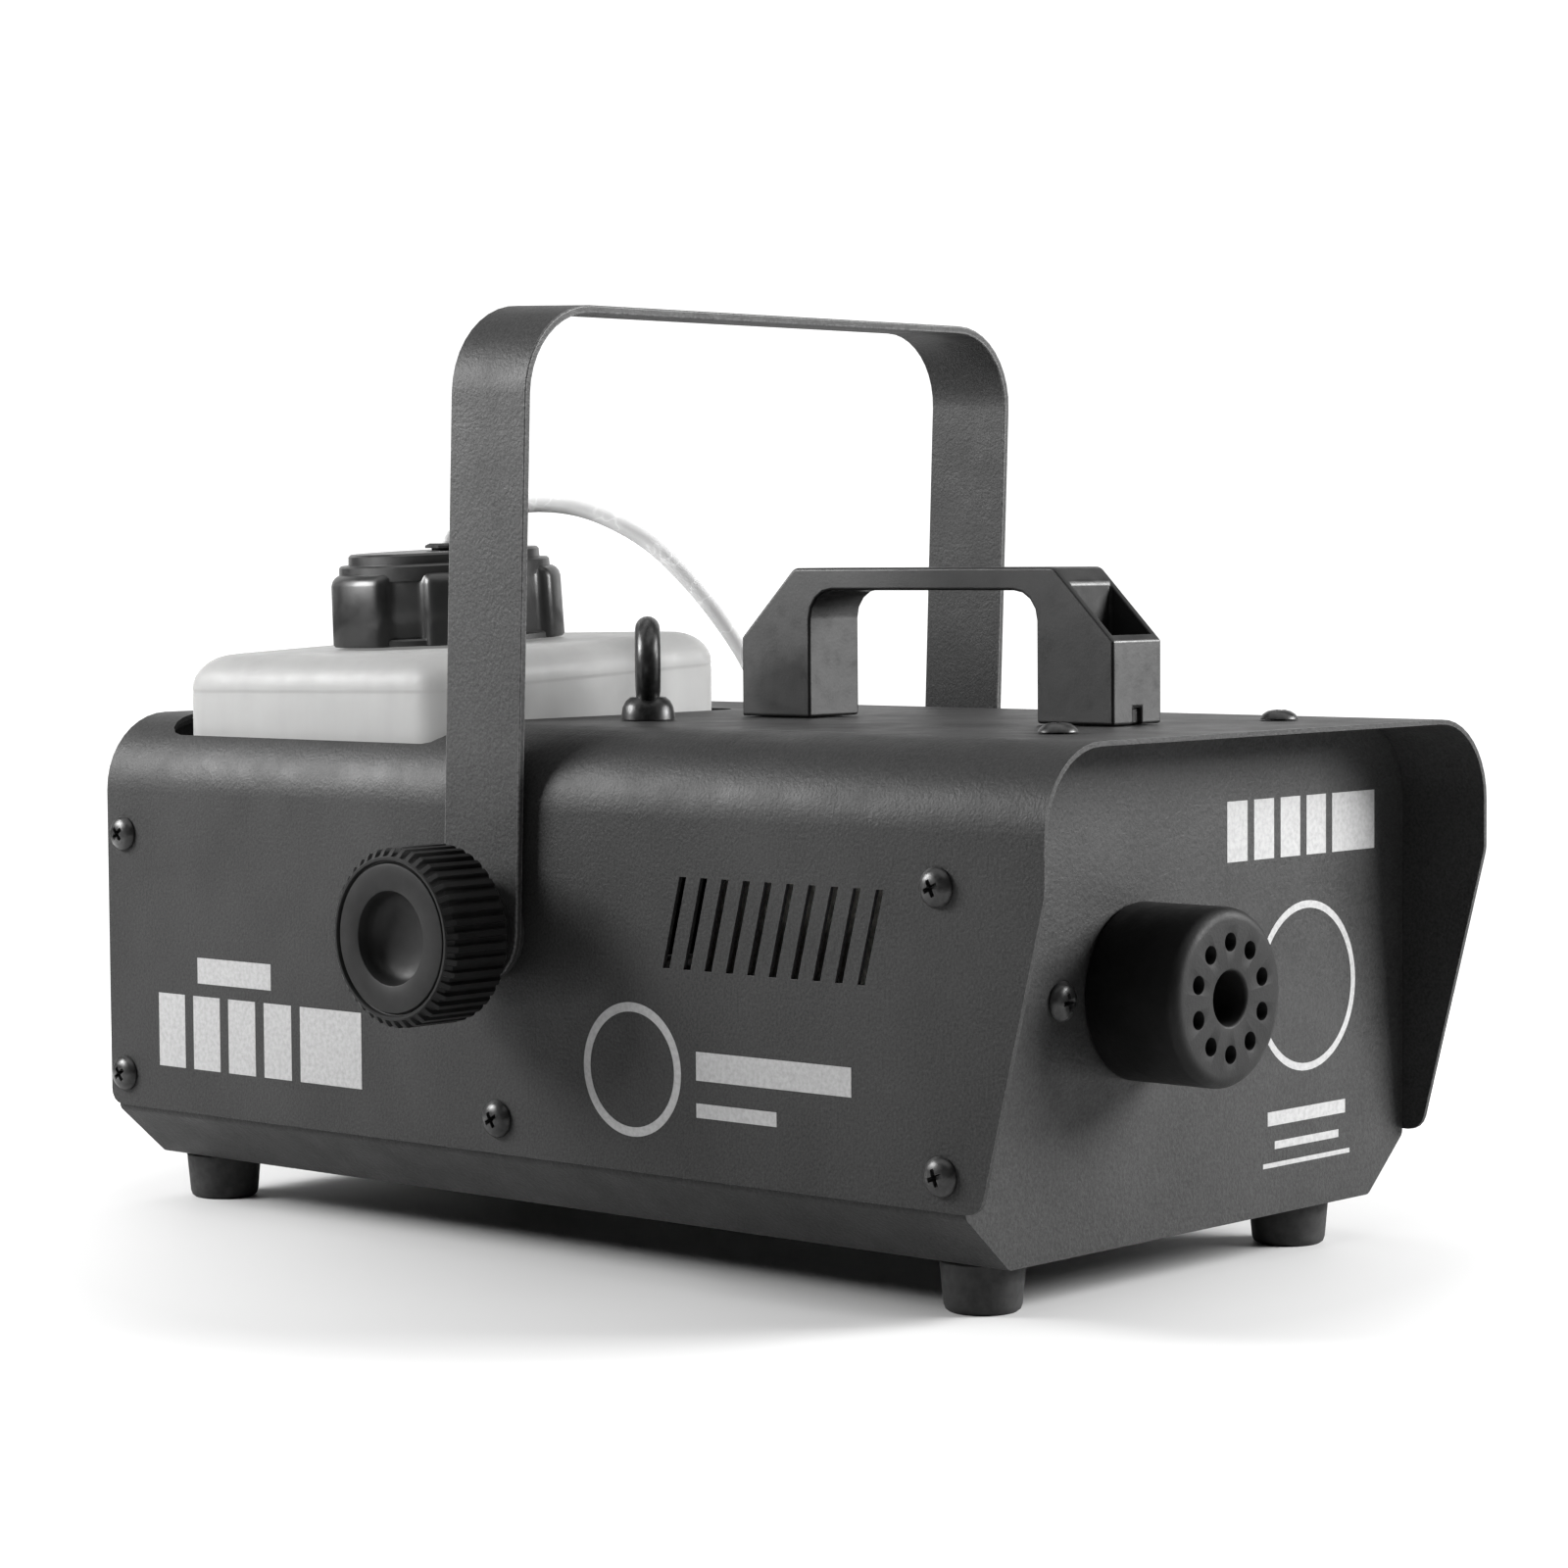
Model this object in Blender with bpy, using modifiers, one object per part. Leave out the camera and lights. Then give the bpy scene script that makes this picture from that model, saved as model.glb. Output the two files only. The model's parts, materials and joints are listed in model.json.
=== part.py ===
"""Fog machine: a sheet-metal body with a hanging bracket, a lift-out fluid tank and a hot front nozzle.

Metres, +Z up. The nozzle faces -Y and the origin is on the floor under the middle of the body.
"""

import math

import bmesh
import bpy
from mathutils import Euler, Vector

# Driving dimensions
SHEET = 0.0012              # steel sheet of the cover and the pan
GAP = 0.0003                # between pieces that touch
HALF_WIDTH = 0.0910         # cover, outside
TOP_Z = 0.1357
COVER_Z = 0.0279            # lower edge of the cover
PAN_Z = 0.0126              # underside of the pan, on the feet
CORNER_R = 0.0210           # top edges of the cover
REAR_Y = 0.1730             # rear edge of the cover
HOOD_Y = -0.1564            # front edge of the cover, above the slant
HOOD_FOOT_Y = -0.1374       # front edge of the cover, at its lower edge
SLANT_Z = 0.1019            # where the front edge starts to slant back
PANEL_Y = -0.1320           # front panel
REAR_PANEL_Y = 0.1715
BACK_SHIFT = 0.0105         # the lengths above start at the bracket; this puts the origin under the middle
CHAMFER_X = 0.0173          # how far the pan's lower corners are cut back

SIDES = {"left": -1, "right": 1}        # seen from behind the machine, the nozzle pointing away
PIVOT_Y, PIVOT_Z = 0.0212, 0.0848       # hanging bracket's axis
BRACKET_HALF = 0.0950
BRACKET_REACH = 0.1568
BRACKET_WIDTH = 0.0266
BRACKET_SHEET = 0.0020
BRACKET_R = 0.0225
BRACKET_TILT = math.radians(2.26)
STUD_R = 0.0039
STUD_HOLE_R = 0.0045
KNOB_R = 0.0223

FOOT_X, FOOT_FRONT_Y, FOOT_REAR_Y = 0.0624, -0.1149, 0.1595
SCREW_HEAD_R, SCREW_R, SCREW_HOLE_R = 0.0048, 0.0017, 0.0022
SCREW_ROWS = (              # (y, z) of the cover screws, the same on both sides
    (0.1660, 0.1030),
    (0.1667, 0.0366),
    (0.0194, 0.0367),
    (-0.1252, 0.1023),
    (-0.1260, 0.0360),
)
TOP_SCREW_X, TOP_SCREW_Y = 0.0450, -0.1243

TANK_LOW = Vector((-0.0810, 0.0490, 0.0360))
TANK_HIGH = Vector((0.0275, 0.1545, 0.1540))
TANK_WALL = 0.0016
TANK_CORNER = 0.0110
NECK_R, NECK_BORE_R, NECK_TOP_Z = 0.0260, 0.0238, 0.1735
CAP_X, CAP_Y = -0.0266, 0.1035
CAP_R, CAP_TOP_Z = 0.0322, 0.1805
CUTOUT_LOW, CUTOUT_HIGH = (-0.0840, 0.0455), (0.0305, 0.1575)
TRAY_WALL, TRAY_TOP_Z, TRAY_FLOOR_Z = 0.0010, 0.1000, 0.0355

HOSE_R = 0.0027
HOSE_HOLE_R = 0.0035
HOSE_ENTRY_X, HOSE_ENTRY_Y = 0.0139, 0.0207

HANDLE_HALF = 0.0098
HANDLE_REAR_Y, HANDLE_FRONT_Y = 0.0092, -0.1138
HANDLE_TOP_Z, HANDLE_BAR, HANDLE_POST, HANDLE_WALL = 0.1748, 0.0058, 0.0240, 0.0018
HANDLE_SLANT_Y, HANDLE_SLANT_Z = 0.0185, 0.0182
EYELET_X, EYELET_Y = -0.0400, 0.0145
EYELET_TURN = math.radians(45.0)
EYELET_RING_R, EYELET_WIRE_R = 0.0083, 0.0032

NOZZLE_X, NOZZLE_Z, NOZZLE_R, NOZZLE_LENGTH = -0.0241, 0.0735, 0.0215, 0.0270
NOZZLE_BORE_R, NOZZLE_JET_R, NOZZLE_JET_CIRCLE, NOZZLE_JETS = 0.0065, 0.00225, 0.0133, 10
FRONT_SCREW_X = (NOZZLE_X - 0.0299, NOZZLE_X + 0.0299)
HEATER_R, HEATER_FRONT_Y, HEATER_REAR_Y, HEATER_NECK_R = 0.0240, -0.1200, -0.0200, 0.0080

PUMP_Y, PUMP_Z, PUMP_R = 0.0120, 0.0360, 0.0180
PUMP_OUT_X, PUMP_IN_X = -0.0470, 0.0420

INLET_X, INLET_Z = 0.0570, 0.0420
SWITCH_X, SWITCH_Z = 0.0420, 0.0760
FUSE_X, FUSE_Z = 0.0720, 0.0760
REMOTE_X, REMOTE_Z = 0.0570, 0.1060
SWITCH_OFF = math.radians(9)            # how far the rocker leans when it is off

VENT_COUNT, VENT_PITCH, VENT_WIDTH = 10, 0.00694, 0.0023
VENT_FIRST_Y, VENT_TOP_Z, VENT_LOW_Z, VENT_LEAN = -0.0456, 0.1010, 0.0785, 0.0059

ROUND = 24                  # facets of a round piece
SMALL_ROUND = 12            # facets of a screw or a small hole
RIGHT_ANGLE = math.pi / 2
TOWARDS = {                 # turns a local +Z to a world direction
    "+Z": (0, 0, 0),
    "-Z": (math.pi, 0, 0),
    "+X": (0, RIGHT_ANGLE, 0),
    "-X": (0, -RIGHT_ANGLE, 0),
    "+Y": (-RIGHT_ANGLE, 0, 0),
    "-Y": (RIGHT_ANGLE, 0, 0),
}
ACROSS_X = (RIGHT_ANGLE, 0, RIGHT_ANGLE)    # an outline drawn in (y, z), extruded along x
ACROSS_Y = (RIGHT_ANGLE, 0, 0)              # an outline drawn in (x, z), extruded along y


# Scene, materials and objects

def clear_scene():
    for obj in list(bpy.data.objects):
        bpy.data.objects.remove(obj)


def new_collection(name):
    made = bpy.data.collections.new(name)
    bpy.context.scene.collection.children.link(made)
    return made


clear_scene()
PARTS = new_collection("fog_machine")
CUTTERS = new_collection("cutters")


def material(name, colour, roughness, metallic=0.0):
    made = bpy.data.materials.new(name)
    made.use_nodes = True
    shader = made.node_tree.nodes["Principled BSDF"]
    shader.inputs["Base Color"].default_value = (*colour, 1.0)
    shader.inputs["Roughness"].default_value = roughness
    shader.inputs["Metallic"].default_value = metallic
    return made


POWDER_COAT = material("black_powder_coat", (0.035, 0.035, 0.036), 0.55)
BLACK_PLASTIC = material("black_plastic", (0.020, 0.020, 0.021), 0.42)
GLOSS_PLASTIC = material("gloss_black_plastic", (0.015, 0.015, 0.016), 0.20)
BLACK_SCREW = material("black_screw", (0.018, 0.018, 0.018), 0.28, 0.6)
RUBBER = material("black_rubber", (0.022, 0.022, 0.022), 0.75)
TANK_PLASTIC = material("milky_plastic", (0.78, 0.78, 0.76), 0.35)
HOSE_PLASTIC = material("clear_hose", (0.80, 0.80, 0.78), 0.25)
STEEL = material("zinc_steel", (0.60, 0.60, 0.60), 0.35, 1.0)
ALUMINIUM = material("cast_aluminium", (0.70, 0.70, 0.71), 0.45, 1.0)
WOOL = material("ceramic_wool", (0.80, 0.79, 0.74), 0.95)
BOARD = material("circuit_board", (0.05, 0.22, 0.10), 0.50)


def add_object(name, mesh, look, smooth=True):
    """A part if it has a look, else a cutter."""
    obj = bpy.data.objects.new(name, mesh)
    (PARTS if look else CUTTERS).objects.link(obj)
    if look:
        mesh.materials.append(look)
        if smooth:
            mesh.shade_smooth()
            mesh.set_sharp_from_angle(angle=math.radians(35))
    else:
        obj.hide_render = True
        obj.display_type = "WIRE"
    return obj


def mesh_from(name, bm):
    mesh = bpy.data.meshes.new(name)
    bm.to_mesh(mesh)
    bm.free()
    return mesh


def place(obj, location, turn):
    obj.location = location
    obj.rotation_euler = turn
    return obj


def boolean(obj, operation, other):
    modifier = obj.modifiers.new(operation.lower(), "BOOLEAN")
    modifier.operation = operation
    modifier.solver = "EXACT"
    modifier.object = other


# Shapes

def block(name, low, high, look=None, bevel=0.0):
    """A box between two corners, with its origin at its middle."""
    low, high = Vector(low), Vector(high)
    bm = bmesh.new()
    bmesh.ops.create_cube(bm, size=1.0)
    bmesh.ops.scale(bm, vec=high - low, verts=bm.verts)
    obj = add_object(name, mesh_from(name, bm), look)
    obj.location = (low + high) / 2
    if bevel:
        modifier = obj.modifiers.new("rounded_edges", "BEVEL")
        modifier.width = bevel
        modifier.segments = 2
    return obj


def turned(name, profile, location, towards, look=None, facets=ROUND, loop=False):
    """Turned from (radius, height) points that run down its outer side; a loop is a ring's section."""
    bm = bmesh.new()
    points = [bm.verts.new((radius, 0, height)) for radius, height in profile]
    for first, second in zip(points, points[1:] + points[:1] * loop):
        bm.edges.new((first, second))
    obj = add_object(name, mesh_from(name, bm), look, smooth=False)
    screw = obj.modifiers.new("turn", "SCREW")
    screw.steps = facets
    screw.render_steps = facets
    screw.use_merge_vertices = True
    screw.merge_threshold = 0.00002
    screw.use_smooth_shade = False
    return place(obj, location, TOWARDS[towards])


def rounded_outline(corners, steps=4):
    """(x, y, radius) corners, each with its own radius, as points with arcs."""
    points = []
    for i, (x, y, radius) in enumerate(corners):
        here = Vector((x, y))
        before = (Vector(corners[i - 1][:2]) - here).normalized()
        after = (Vector(corners[(i + 1) % len(corners)][:2]) - here).normalized()
        if not radius:
            points.append(here)
            continue
        half = before.angle(after) / 2
        centre = here + (before + after).normalized() * (radius / math.sin(half))
        start = here + before * (radius / math.tan(half)) - centre
        sweep = math.pi - 2 * half
        sign = -1 if before.cross(after) > 0 else 1
        for k in range(steps + 1):
            angle = sign * sweep * k / steps
            turn = Vector((math.cos(angle), math.sin(angle)))
            turned_x = start.x * turn.x - start.y * turn.y
            turned_y = start.x * turn.y + start.y * turn.x
            points.append(centre + Vector((turned_x, turned_y)))
    return points


def plate(name, outline, thickness, location, turn, look=None):
    """A flat outline, extruded to both sides, as a mesh that can be cut."""
    curve = bpy.data.curves.new(name, "CURVE")
    curve.dimensions = "2D"
    curve.fill_mode = "BOTH"
    curve.extrude = thickness / 2
    spline = curve.splines.new("POLY")
    spline.points.add(len(outline) - 1)
    for point, (x, y) in zip(spline.points, outline):
        point.co = (x, y, 0, 1)
    spline.use_cyclic_u = True
    drawn = bpy.data.objects.new(name, curve)
    bpy.context.scene.collection.objects.link(drawn)
    graph = bpy.context.evaluated_depsgraph_get()
    mesh = bpy.data.meshes.new_from_object(drawn.evaluated_get(graph))
    bpy.data.objects.remove(drawn)
    bm = bmesh.new()
    bm.from_mesh(mesh)
    bmesh.ops.remove_doubles(bm, verts=bm.verts, dist=0.00001)
    bmesh.ops.recalc_face_normals(bm, faces=bm.faces)
    bm.to_mesh(mesh)
    bm.free()
    return place(add_object(name, mesh, look), location, turn)


def tube(name, route, radius, look):
    """A round tube along a smooth curve through the route's points."""
    curve = bpy.data.curves.new(name, "CURVE")
    curve.dimensions = "3D"
    curve.bevel_depth = radius
    curve.bevel_resolution = 2
    curve.use_fill_caps = True
    points = smooth_route(route)
    spline = curve.splines.new("POLY")
    spline.points.add(len(points) - 1)
    for point, where in zip(spline.points, points):
        point.co = (*where, 1)
    obj = bpy.data.objects.new(name, curve)
    curve.materials.append(look)
    PARTS.objects.link(obj)
    return obj


def smooth_route(route, spacing=0.0075):
    """Points about spacing apart on a Catmull-Rom curve through the route."""
    route = [Vector(p) for p in route]
    ends = [route[0] * 2 - route[1], *route, route[-1] * 2 - route[-2]]
    points = []
    for a, b, c, d in zip(ends, ends[1:], ends[2:], ends[3:]):
        steps = max(1, round((c - b).length / spacing))
        for k in range(steps):
            t = k / steps
            points.append(0.5 * (2 * b + (c - a) * t + (2 * a - 5 * b + 4 * c - d) * t ** 2
                                 + (3 * b - a - 3 * c + d) * t ** 3))
    return points + [route[-1]]


def holes(name, centres, radius, depth, towards, facets=SMALL_ROUND):
    """One cutter made of a round pin at each centre."""
    bm = bmesh.new()
    direction = Euler(TOWARDS[towards]).to_matrix().to_4x4()
    for centre in centres:
        matrix = direction.copy()
        matrix.translation = centre
        bmesh.ops.create_cone(bm, cap_ends=True, segments=facets, radius1=radius, radius2=radius,
                              depth=depth, matrix=matrix)
    return add_object(name, mesh_from(name, bm), None)


def screw(name, seat, towards, length=0.0070, head_r=SCREW_HEAD_R):
    """A dome-headed screw whose head sits GAP above its seat."""
    height = head_r * 0.5
    profile = ((0, height), (head_r * 0.55, height * 0.88), (head_r * 0.90, height * 0.45), (head_r, 0),
               (SCREW_R, 0), (SCREW_R, -length), (0, -length))
    offset = Vector((0, 0, GAP))
    offset.rotate(Euler(TOWARDS[towards]))
    return turned(name, profile, Vector(seat) + offset, towards, BLACK_SCREW, SMALL_ROUND)


def outward(side):
    return "+X" if side > 0 else "-X"


# Body: pan, cover, tank tray and feet

def body_section(inset=0.0):
    """The pan's section in (x, z): chamfered below, rounded above."""
    side = HALF_WIDTH - SHEET - GAP - inset
    top = TOP_Z - SHEET - GAP - inset
    slope = (COVER_Z - PAN_Z) / CHAMFER_X
    shift = inset * (math.sqrt(1 + slope ** 2) - 1) / slope     # keeps the chamfer's wall as thick
    floor = HALF_WIDTH - CHAMFER_X - shift
    knee = PAN_Z + inset + (side - floor) * slope
    radius = CORNER_R - SHEET - GAP - inset
    bend = 0.0025 - inset
    right = [(floor, PAN_Z + inset, bend), (side, knee, bend), (side, top, radius)]
    return rounded_outline(right + [(-x, z, r) for x, z, r in reversed(right)], steps=10)


def make_pan():
    middle = (PANEL_Y + REAR_PANEL_Y) / 2
    length = REAR_PANEL_Y - PANEL_Y
    pan = plate("base_pan", body_section(), length, (0, middle, 0), ACROSS_Y, POWDER_COAT)
    inside = plate("pan_inside", body_section(SHEET), length - 2 * SHEET, (0, middle, 0), ACROSS_Y)
    boolean(pan, "DIFFERENCE", inside)
    boolean(pan, "DIFFERENCE", block("pan_window", (-0.12, -0.110, 0.050), (0.12, 0.159, 0.20)))
    seats = [(side * HALF_WIDTH, y, z) for side in SIDES.values() for y, z in SCREW_ROWS]
    boolean(pan, "DIFFERENCE", holes("pan_side_holes", seats, SCREW_HOLE_R, 0.012, "+X"))
    tops = [(side * TOP_SCREW_X, TOP_SCREW_Y, TOP_Z) for side in SIDES.values()]
    boolean(pan, "DIFFERENCE", holes("pan_top_holes", tops, SCREW_HOLE_R, 0.012, "+Z"))
    feet = [(side * FOOT_X, y, PAN_Z) for side in SIDES.values() for y in (FOOT_FRONT_Y, FOOT_REAR_Y)]
    boolean(pan, "DIFFERENCE", holes("pan_foot_holes", feet, SCREW_HOLE_R, 0.012, "+Z"))
    fronts = [(x, PANEL_Y, NOZZLE_Z) for x in FRONT_SCREW_X]
    boolean(pan, "DIFFERENCE", holes("pan_front_holes", fronts, SCREW_HOLE_R, 0.012, "+Y"))
    nozzle = [(NOZZLE_X, PANEL_Y, NOZZLE_Z)]
    boolean(pan, "DIFFERENCE", holes("pan_nozzle_hole", nozzle, 0.0120, 0.012, "+Y", ROUND))
    cut_rear_panel(pan)


def cut_rear_panel(pan):
    boolean(pan, "DIFFERENCE", block("pan_inlet_hole", *rear_box(INLET_X, INLET_Z, 0.0278, 0.0198, 0.01)))
    boolean(pan, "DIFFERENCE", block("pan_switch_hole", *rear_box(SWITCH_X, SWITCH_Z, 0.0136, 0.0198, 0.01)))
    fuse = [(FUSE_X, REAR_PANEL_Y, FUSE_Z)]
    boolean(pan, "DIFFERENCE", holes("pan_fuse_hole", fuse, 0.0063, 0.012, "+Y"))
    remote = [(REMOTE_X, REAR_PANEL_Y, REMOTE_Z)]
    boolean(pan, "DIFFERENCE", holes("pan_remote_hole", remote, 0.0085, 0.012, "+Y"))


def rear_box(x, z, width, height, depth, out=None):
    """Corners of a box on the rear panel, depth behind its outside and as far in front of it."""
    out = depth if out is None else out
    low = (x - width / 2, REAR_PANEL_Y - depth, z - height / 2)
    high = (x + width / 2, REAR_PANEL_Y + out, z + height / 2)
    return low, high


def sheet_section(half, top, low, radius, sheet):
    """A folded sheet's section in (x, z): up one side, over the top and down the other."""
    outside = [(-half, low, 0), (-half, top, radius), (half, top, radius), (half, low, 0)]
    inner = half - sheet
    inside = [(inner, low, 0), (inner, top - sheet, radius - sheet), (-inner, top - sheet, radius - sheet),
              (-inner, low, 0)]
    return rounded_outline(outside + inside, steps=10)


def make_cover():
    section = sheet_section(HALF_WIDTH, TOP_Z, 0.010, CORNER_R, SHEET)
    cover = plate("top_cover", section, 0.40, (0, 0, 0), ACROSS_Y, POWDER_COAT)
    above = TOP_Z + 0.01
    side_view = [(REAR_Y, COVER_Z, 0.004), (REAR_Y, above, 0), (HOOD_Y, above, 0), (HOOD_Y, SLANT_Z, 0.012),
                 (HOOD_FOOT_Y, COVER_Z, 0.005)]
    side_view = rounded_outline(side_view)
    boolean(cover, "INTERSECT", plate("cover_side_view", side_view, 0.24, (0, 0, 0), ACROSS_X))
    (x0, y0), (x1, y1) = CUTOUT_LOW, CUTOUT_HIGH
    cutout = rounded_outline([(x0, y0, 0.008), (x1, y0, 0.008), (x1, y1, 0.008), (x0, y1, 0.008)])
    boolean(cover, "DIFFERENCE", plate("cover_tank_cutout", cutout, 0.040, (0, 0, TOP_Z), (0, 0, 0)))
    seats = [(side * HALF_WIDTH, y, z) for side in SIDES.values() for y, z in SCREW_ROWS]
    boolean(cover, "DIFFERENCE", holes("cover_side_holes", seats, SCREW_HOLE_R, 0.01, "+X"))
    tops = [(side * TOP_SCREW_X, TOP_SCREW_Y, TOP_Z) for side in SIDES.values()] + handle_screw_seats()
    boolean(cover, "DIFFERENCE", holes("cover_top_holes", tops, SCREW_HOLE_R, 0.01, "+Z"))
    studs = [(side * HALF_WIDTH, PIVOT_Y, PIVOT_Z) for side in SIDES.values()]
    boolean(cover, "DIFFERENCE", holes("cover_stud_holes", studs, STUD_HOLE_R, 0.01, "+X"))
    entry = [(HOSE_ENTRY_X, HOSE_ENTRY_Y, TOP_Z)]
    boolean(cover, "DIFFERENCE", holes("cover_hose_hole", entry, 0.0047, 0.01, "+Z"))
    eyelet = [(EYELET_X, EYELET_Y, TOP_Z)]
    boolean(cover, "DIFFERENCE", holes("cover_eyelet_hole", eyelet, 0.0034, 0.01, "+Z"))
    boolean(cover, "DIFFERENCE", vent_cutter())


def vent_cutter():
    """Slanted slots in both sides of the cover, as one cutter."""
    bm = bmesh.new()
    height = VENT_TOP_Z - VENT_LOW_Z
    for side in SIDES.values():
        for i in range(VENT_COUNT):
            made = bmesh.ops.create_cube(bm, size=1.0)["verts"]
            bmesh.ops.scale(bm, vec=(0.010, VENT_WIDTH, height), verts=made)
            for vert in made:
                vert.co.y -= vert.co.z / height * VENT_LEAN
            middle = VENT_FIRST_Y + VENT_LEAN / 2 - i * VENT_PITCH
            shift = (side * HALF_WIDTH, middle, (VENT_TOP_Z + VENT_LOW_Z) / 2)
            bmesh.ops.translate(bm, vec=shift, verts=made)
    return add_object("cover_vents", mesh_from("cover_vents", bm), None)


def make_tray():
    """The bin that the tank stands in: four walls on the pan, with a raised floor."""
    gap = 0.0010
    inner = (TANK_LOW.x - gap, TANK_LOW.y - gap, TANK_HIGH.x + gap, TANK_HIGH.y + gap)
    low_z = PAN_Z + SHEET + GAP
    tray = block("tank_tray", (inner[0] - TRAY_WALL, inner[1] - TRAY_WALL, low_z),
                 (inner[2] + TRAY_WALL, inner[3] + TRAY_WALL, TRAY_TOP_Z), POWDER_COAT)
    above = block("tray_above", (inner[0], inner[1], TRAY_FLOOR_Z), (inner[2], inner[3], TRAY_TOP_Z + 0.01))
    below = block("tray_below", (inner[0], inner[1], 0), (inner[2], inner[3], TRAY_FLOOR_Z - TRAY_WALL))
    boolean(tray, "DIFFERENCE", above)
    boolean(tray, "DIFFERENCE", below)
    notch = block("tray_pan_corner", (-0.10, 0.0, 0.0), (-0.0730, 0.2, 0.0310))
    boolean(tray, "DIFFERENCE", notch)


def make_feet():
    top = PAN_Z - GAP
    bore = 0.0050
    profile = ((SCREW_HOLE_R, top), (0.0103, top), (0.0093, 0.0015), (0.0084, 0), (bore, 0), (bore, 0.0070),
               (SCREW_HOLE_R, 0.0070))
    for end, y in (("front", FOOT_FRONT_Y), ("rear", FOOT_REAR_Y)):
        for name, side in SIDES.items():
            turned(f"foot_{end}_{name}", profile, (side * FOOT_X, y, 0), "+Z", RUBBER, ROUND, loop=True)
            screw(f"foot_screw_{end}_{name}", (side * FOOT_X, y, 0.0070), "-Z", 0.0110, 0.0040)


def make_cover_screws():
    rows = ("rear_upper", "rear_lower", "middle", "front_upper", "front_lower")
    for name, side in SIDES.items():
        for row, (y, z) in zip(rows, SCREW_ROWS):
            screw(f"side_screw_{row}_{name}", (side * HALF_WIDTH, y, z), outward(side))
        screw(f"top_screw_{name}", (side * TOP_SCREW_X, TOP_SCREW_Y, TOP_Z), "+Z")


# Hanging bracket with its knobs

def make_bracket():
    """A folded strap, drawn with its pivot at the origin."""
    section = sheet_section(BRACKET_HALF, BRACKET_REACH, -0.020, BRACKET_R, BRACKET_SHEET)
    bracket = plate("hanging_bracket", section, 0.060, (0, PIVOT_Y, PIVOT_Z), ACROSS_Y, POWDER_COAT)
    half = BRACKET_WIDTH / 2
    strap = rounded_outline([(-half, -half, half * 0.98), (half, -half, half * 0.98), (half, 0.18, 0),
                             (-half, 0.18, 0)], steps=6)
    side_view = plate("bracket_side_view", strap, 0.24, (0, PIVOT_Y, PIVOT_Z), ACROSS_X)
    ends = [(-BRACKET_HALF, 0, 0), (BRACKET_HALF, 0, 0)]
    stud_holes = holes("bracket_stud_holes", ends, STUD_HOLE_R, 0.02, "+X")
    stud_holes.location = (0, PIVOT_Y, PIVOT_Z)
    for cutter in (side_view, stud_holes):
        boolean(bracket, "INTERSECT" if cutter is side_view else "DIFFERENCE", cutter)
    tilt_about_pivot([bracket, side_view, stud_holes])


def tilt_about_pivot(objects):
    """Leans the pieces forward about the bracket's axis, through one empty."""
    pivot = bpy.data.objects.new("bracket_pivot", None)
    PARTS.objects.link(pivot)
    pivot.location = (0, PIVOT_Y, PIVOT_Z)
    for obj in objects:
        obj.location = (0, 0, 0)
        obj.parent = pivot
    pivot.rotation_euler = (BRACKET_TILT, 0, 0)


def make_knobs():
    """On each side, outwards: nut, cover, friction washer, bracket, clamp washer, knob on its stud."""
    for name, side in SIDES.items():
        seat = (side * BRACKET_HALF, PIVOT_Y, PIVOT_Z)
        out = outward(side)
        turned(f"clamp_knob_{name}", knob_section(), seat, out, BLACK_PLASTIC, 32)
        stud_end, stud_in = 0.0167, -0.0140
        stud = ((0, stud_end), (STUD_R, stud_end), (STUD_R, stud_in), (0, stud_in))
        turned(f"knob_stud_{name}", stud, seat, out, STEEL, 16)
        ring(f"clamp_washer_{name}", seat, out, 0.0003, 0.0018, 0.0110, STEEL)
        space = BRACKET_HALF - BRACKET_SHEET - HALF_WIDTH
        cover_seat = (side * HALF_WIDTH, PIVOT_Y, PIVOT_Z)
        ring(f"friction_washer_{name}", cover_seat, out, GAP, space - GAP, 0.0125, RUBBER)
        nut_seat = (side * (HALF_WIDTH - SHEET - GAP - 0.0065), PIVOT_Y, PIVOT_Z)
        nut = ((0.0043, 0.0065), (0.0085, 0.0065), (0.0085, 0), (0.0043, 0))
        turned(f"pivot_nut_{name}", nut, nut_seat, out, STEEL, 6 * 2, loop=True)


def knob_section():
    """From the dish in the middle of the face, out over the rim, and back along the neck to the stud."""
    hub, neck_end, face = 0.0021, 0.0105, 0.0305
    dish = [(0, face - 0.0060), (0.0085, face - 0.0055), (0.0105, face - 0.0040), (0.0105, face - 0.0005)]
    rim = [(0.0110, face), (0.0196, face), (0.0208, face - 0.0008), (KNOB_R, face - 0.0026)]
    neck = [(KNOB_R, neck_end + 0.0010), (0.0210, neck_end), (0.0150, neck_end), (0.0147, hub)]
    return dish + rim + neck + [(0.0043, hub), (0.0043, 0.0170), (0, 0.0170)]


def ring(name, seat, towards, start, end, radius, look, bore=STUD_HOLE_R):
    section = ((bore, end), (radius, end), (radius, start), (bore, start))
    turned(name, section, seat, towards, look, ROUND, loop=True)


# Top: carry handle and safety eyelet

def handle_screw_seats():
    rear = (HANDLE_REAR_Y - 0.0085, HANDLE_FRONT_Y + 0.0085)
    return [(0, y, TOP_Z) for y in rear]


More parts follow.
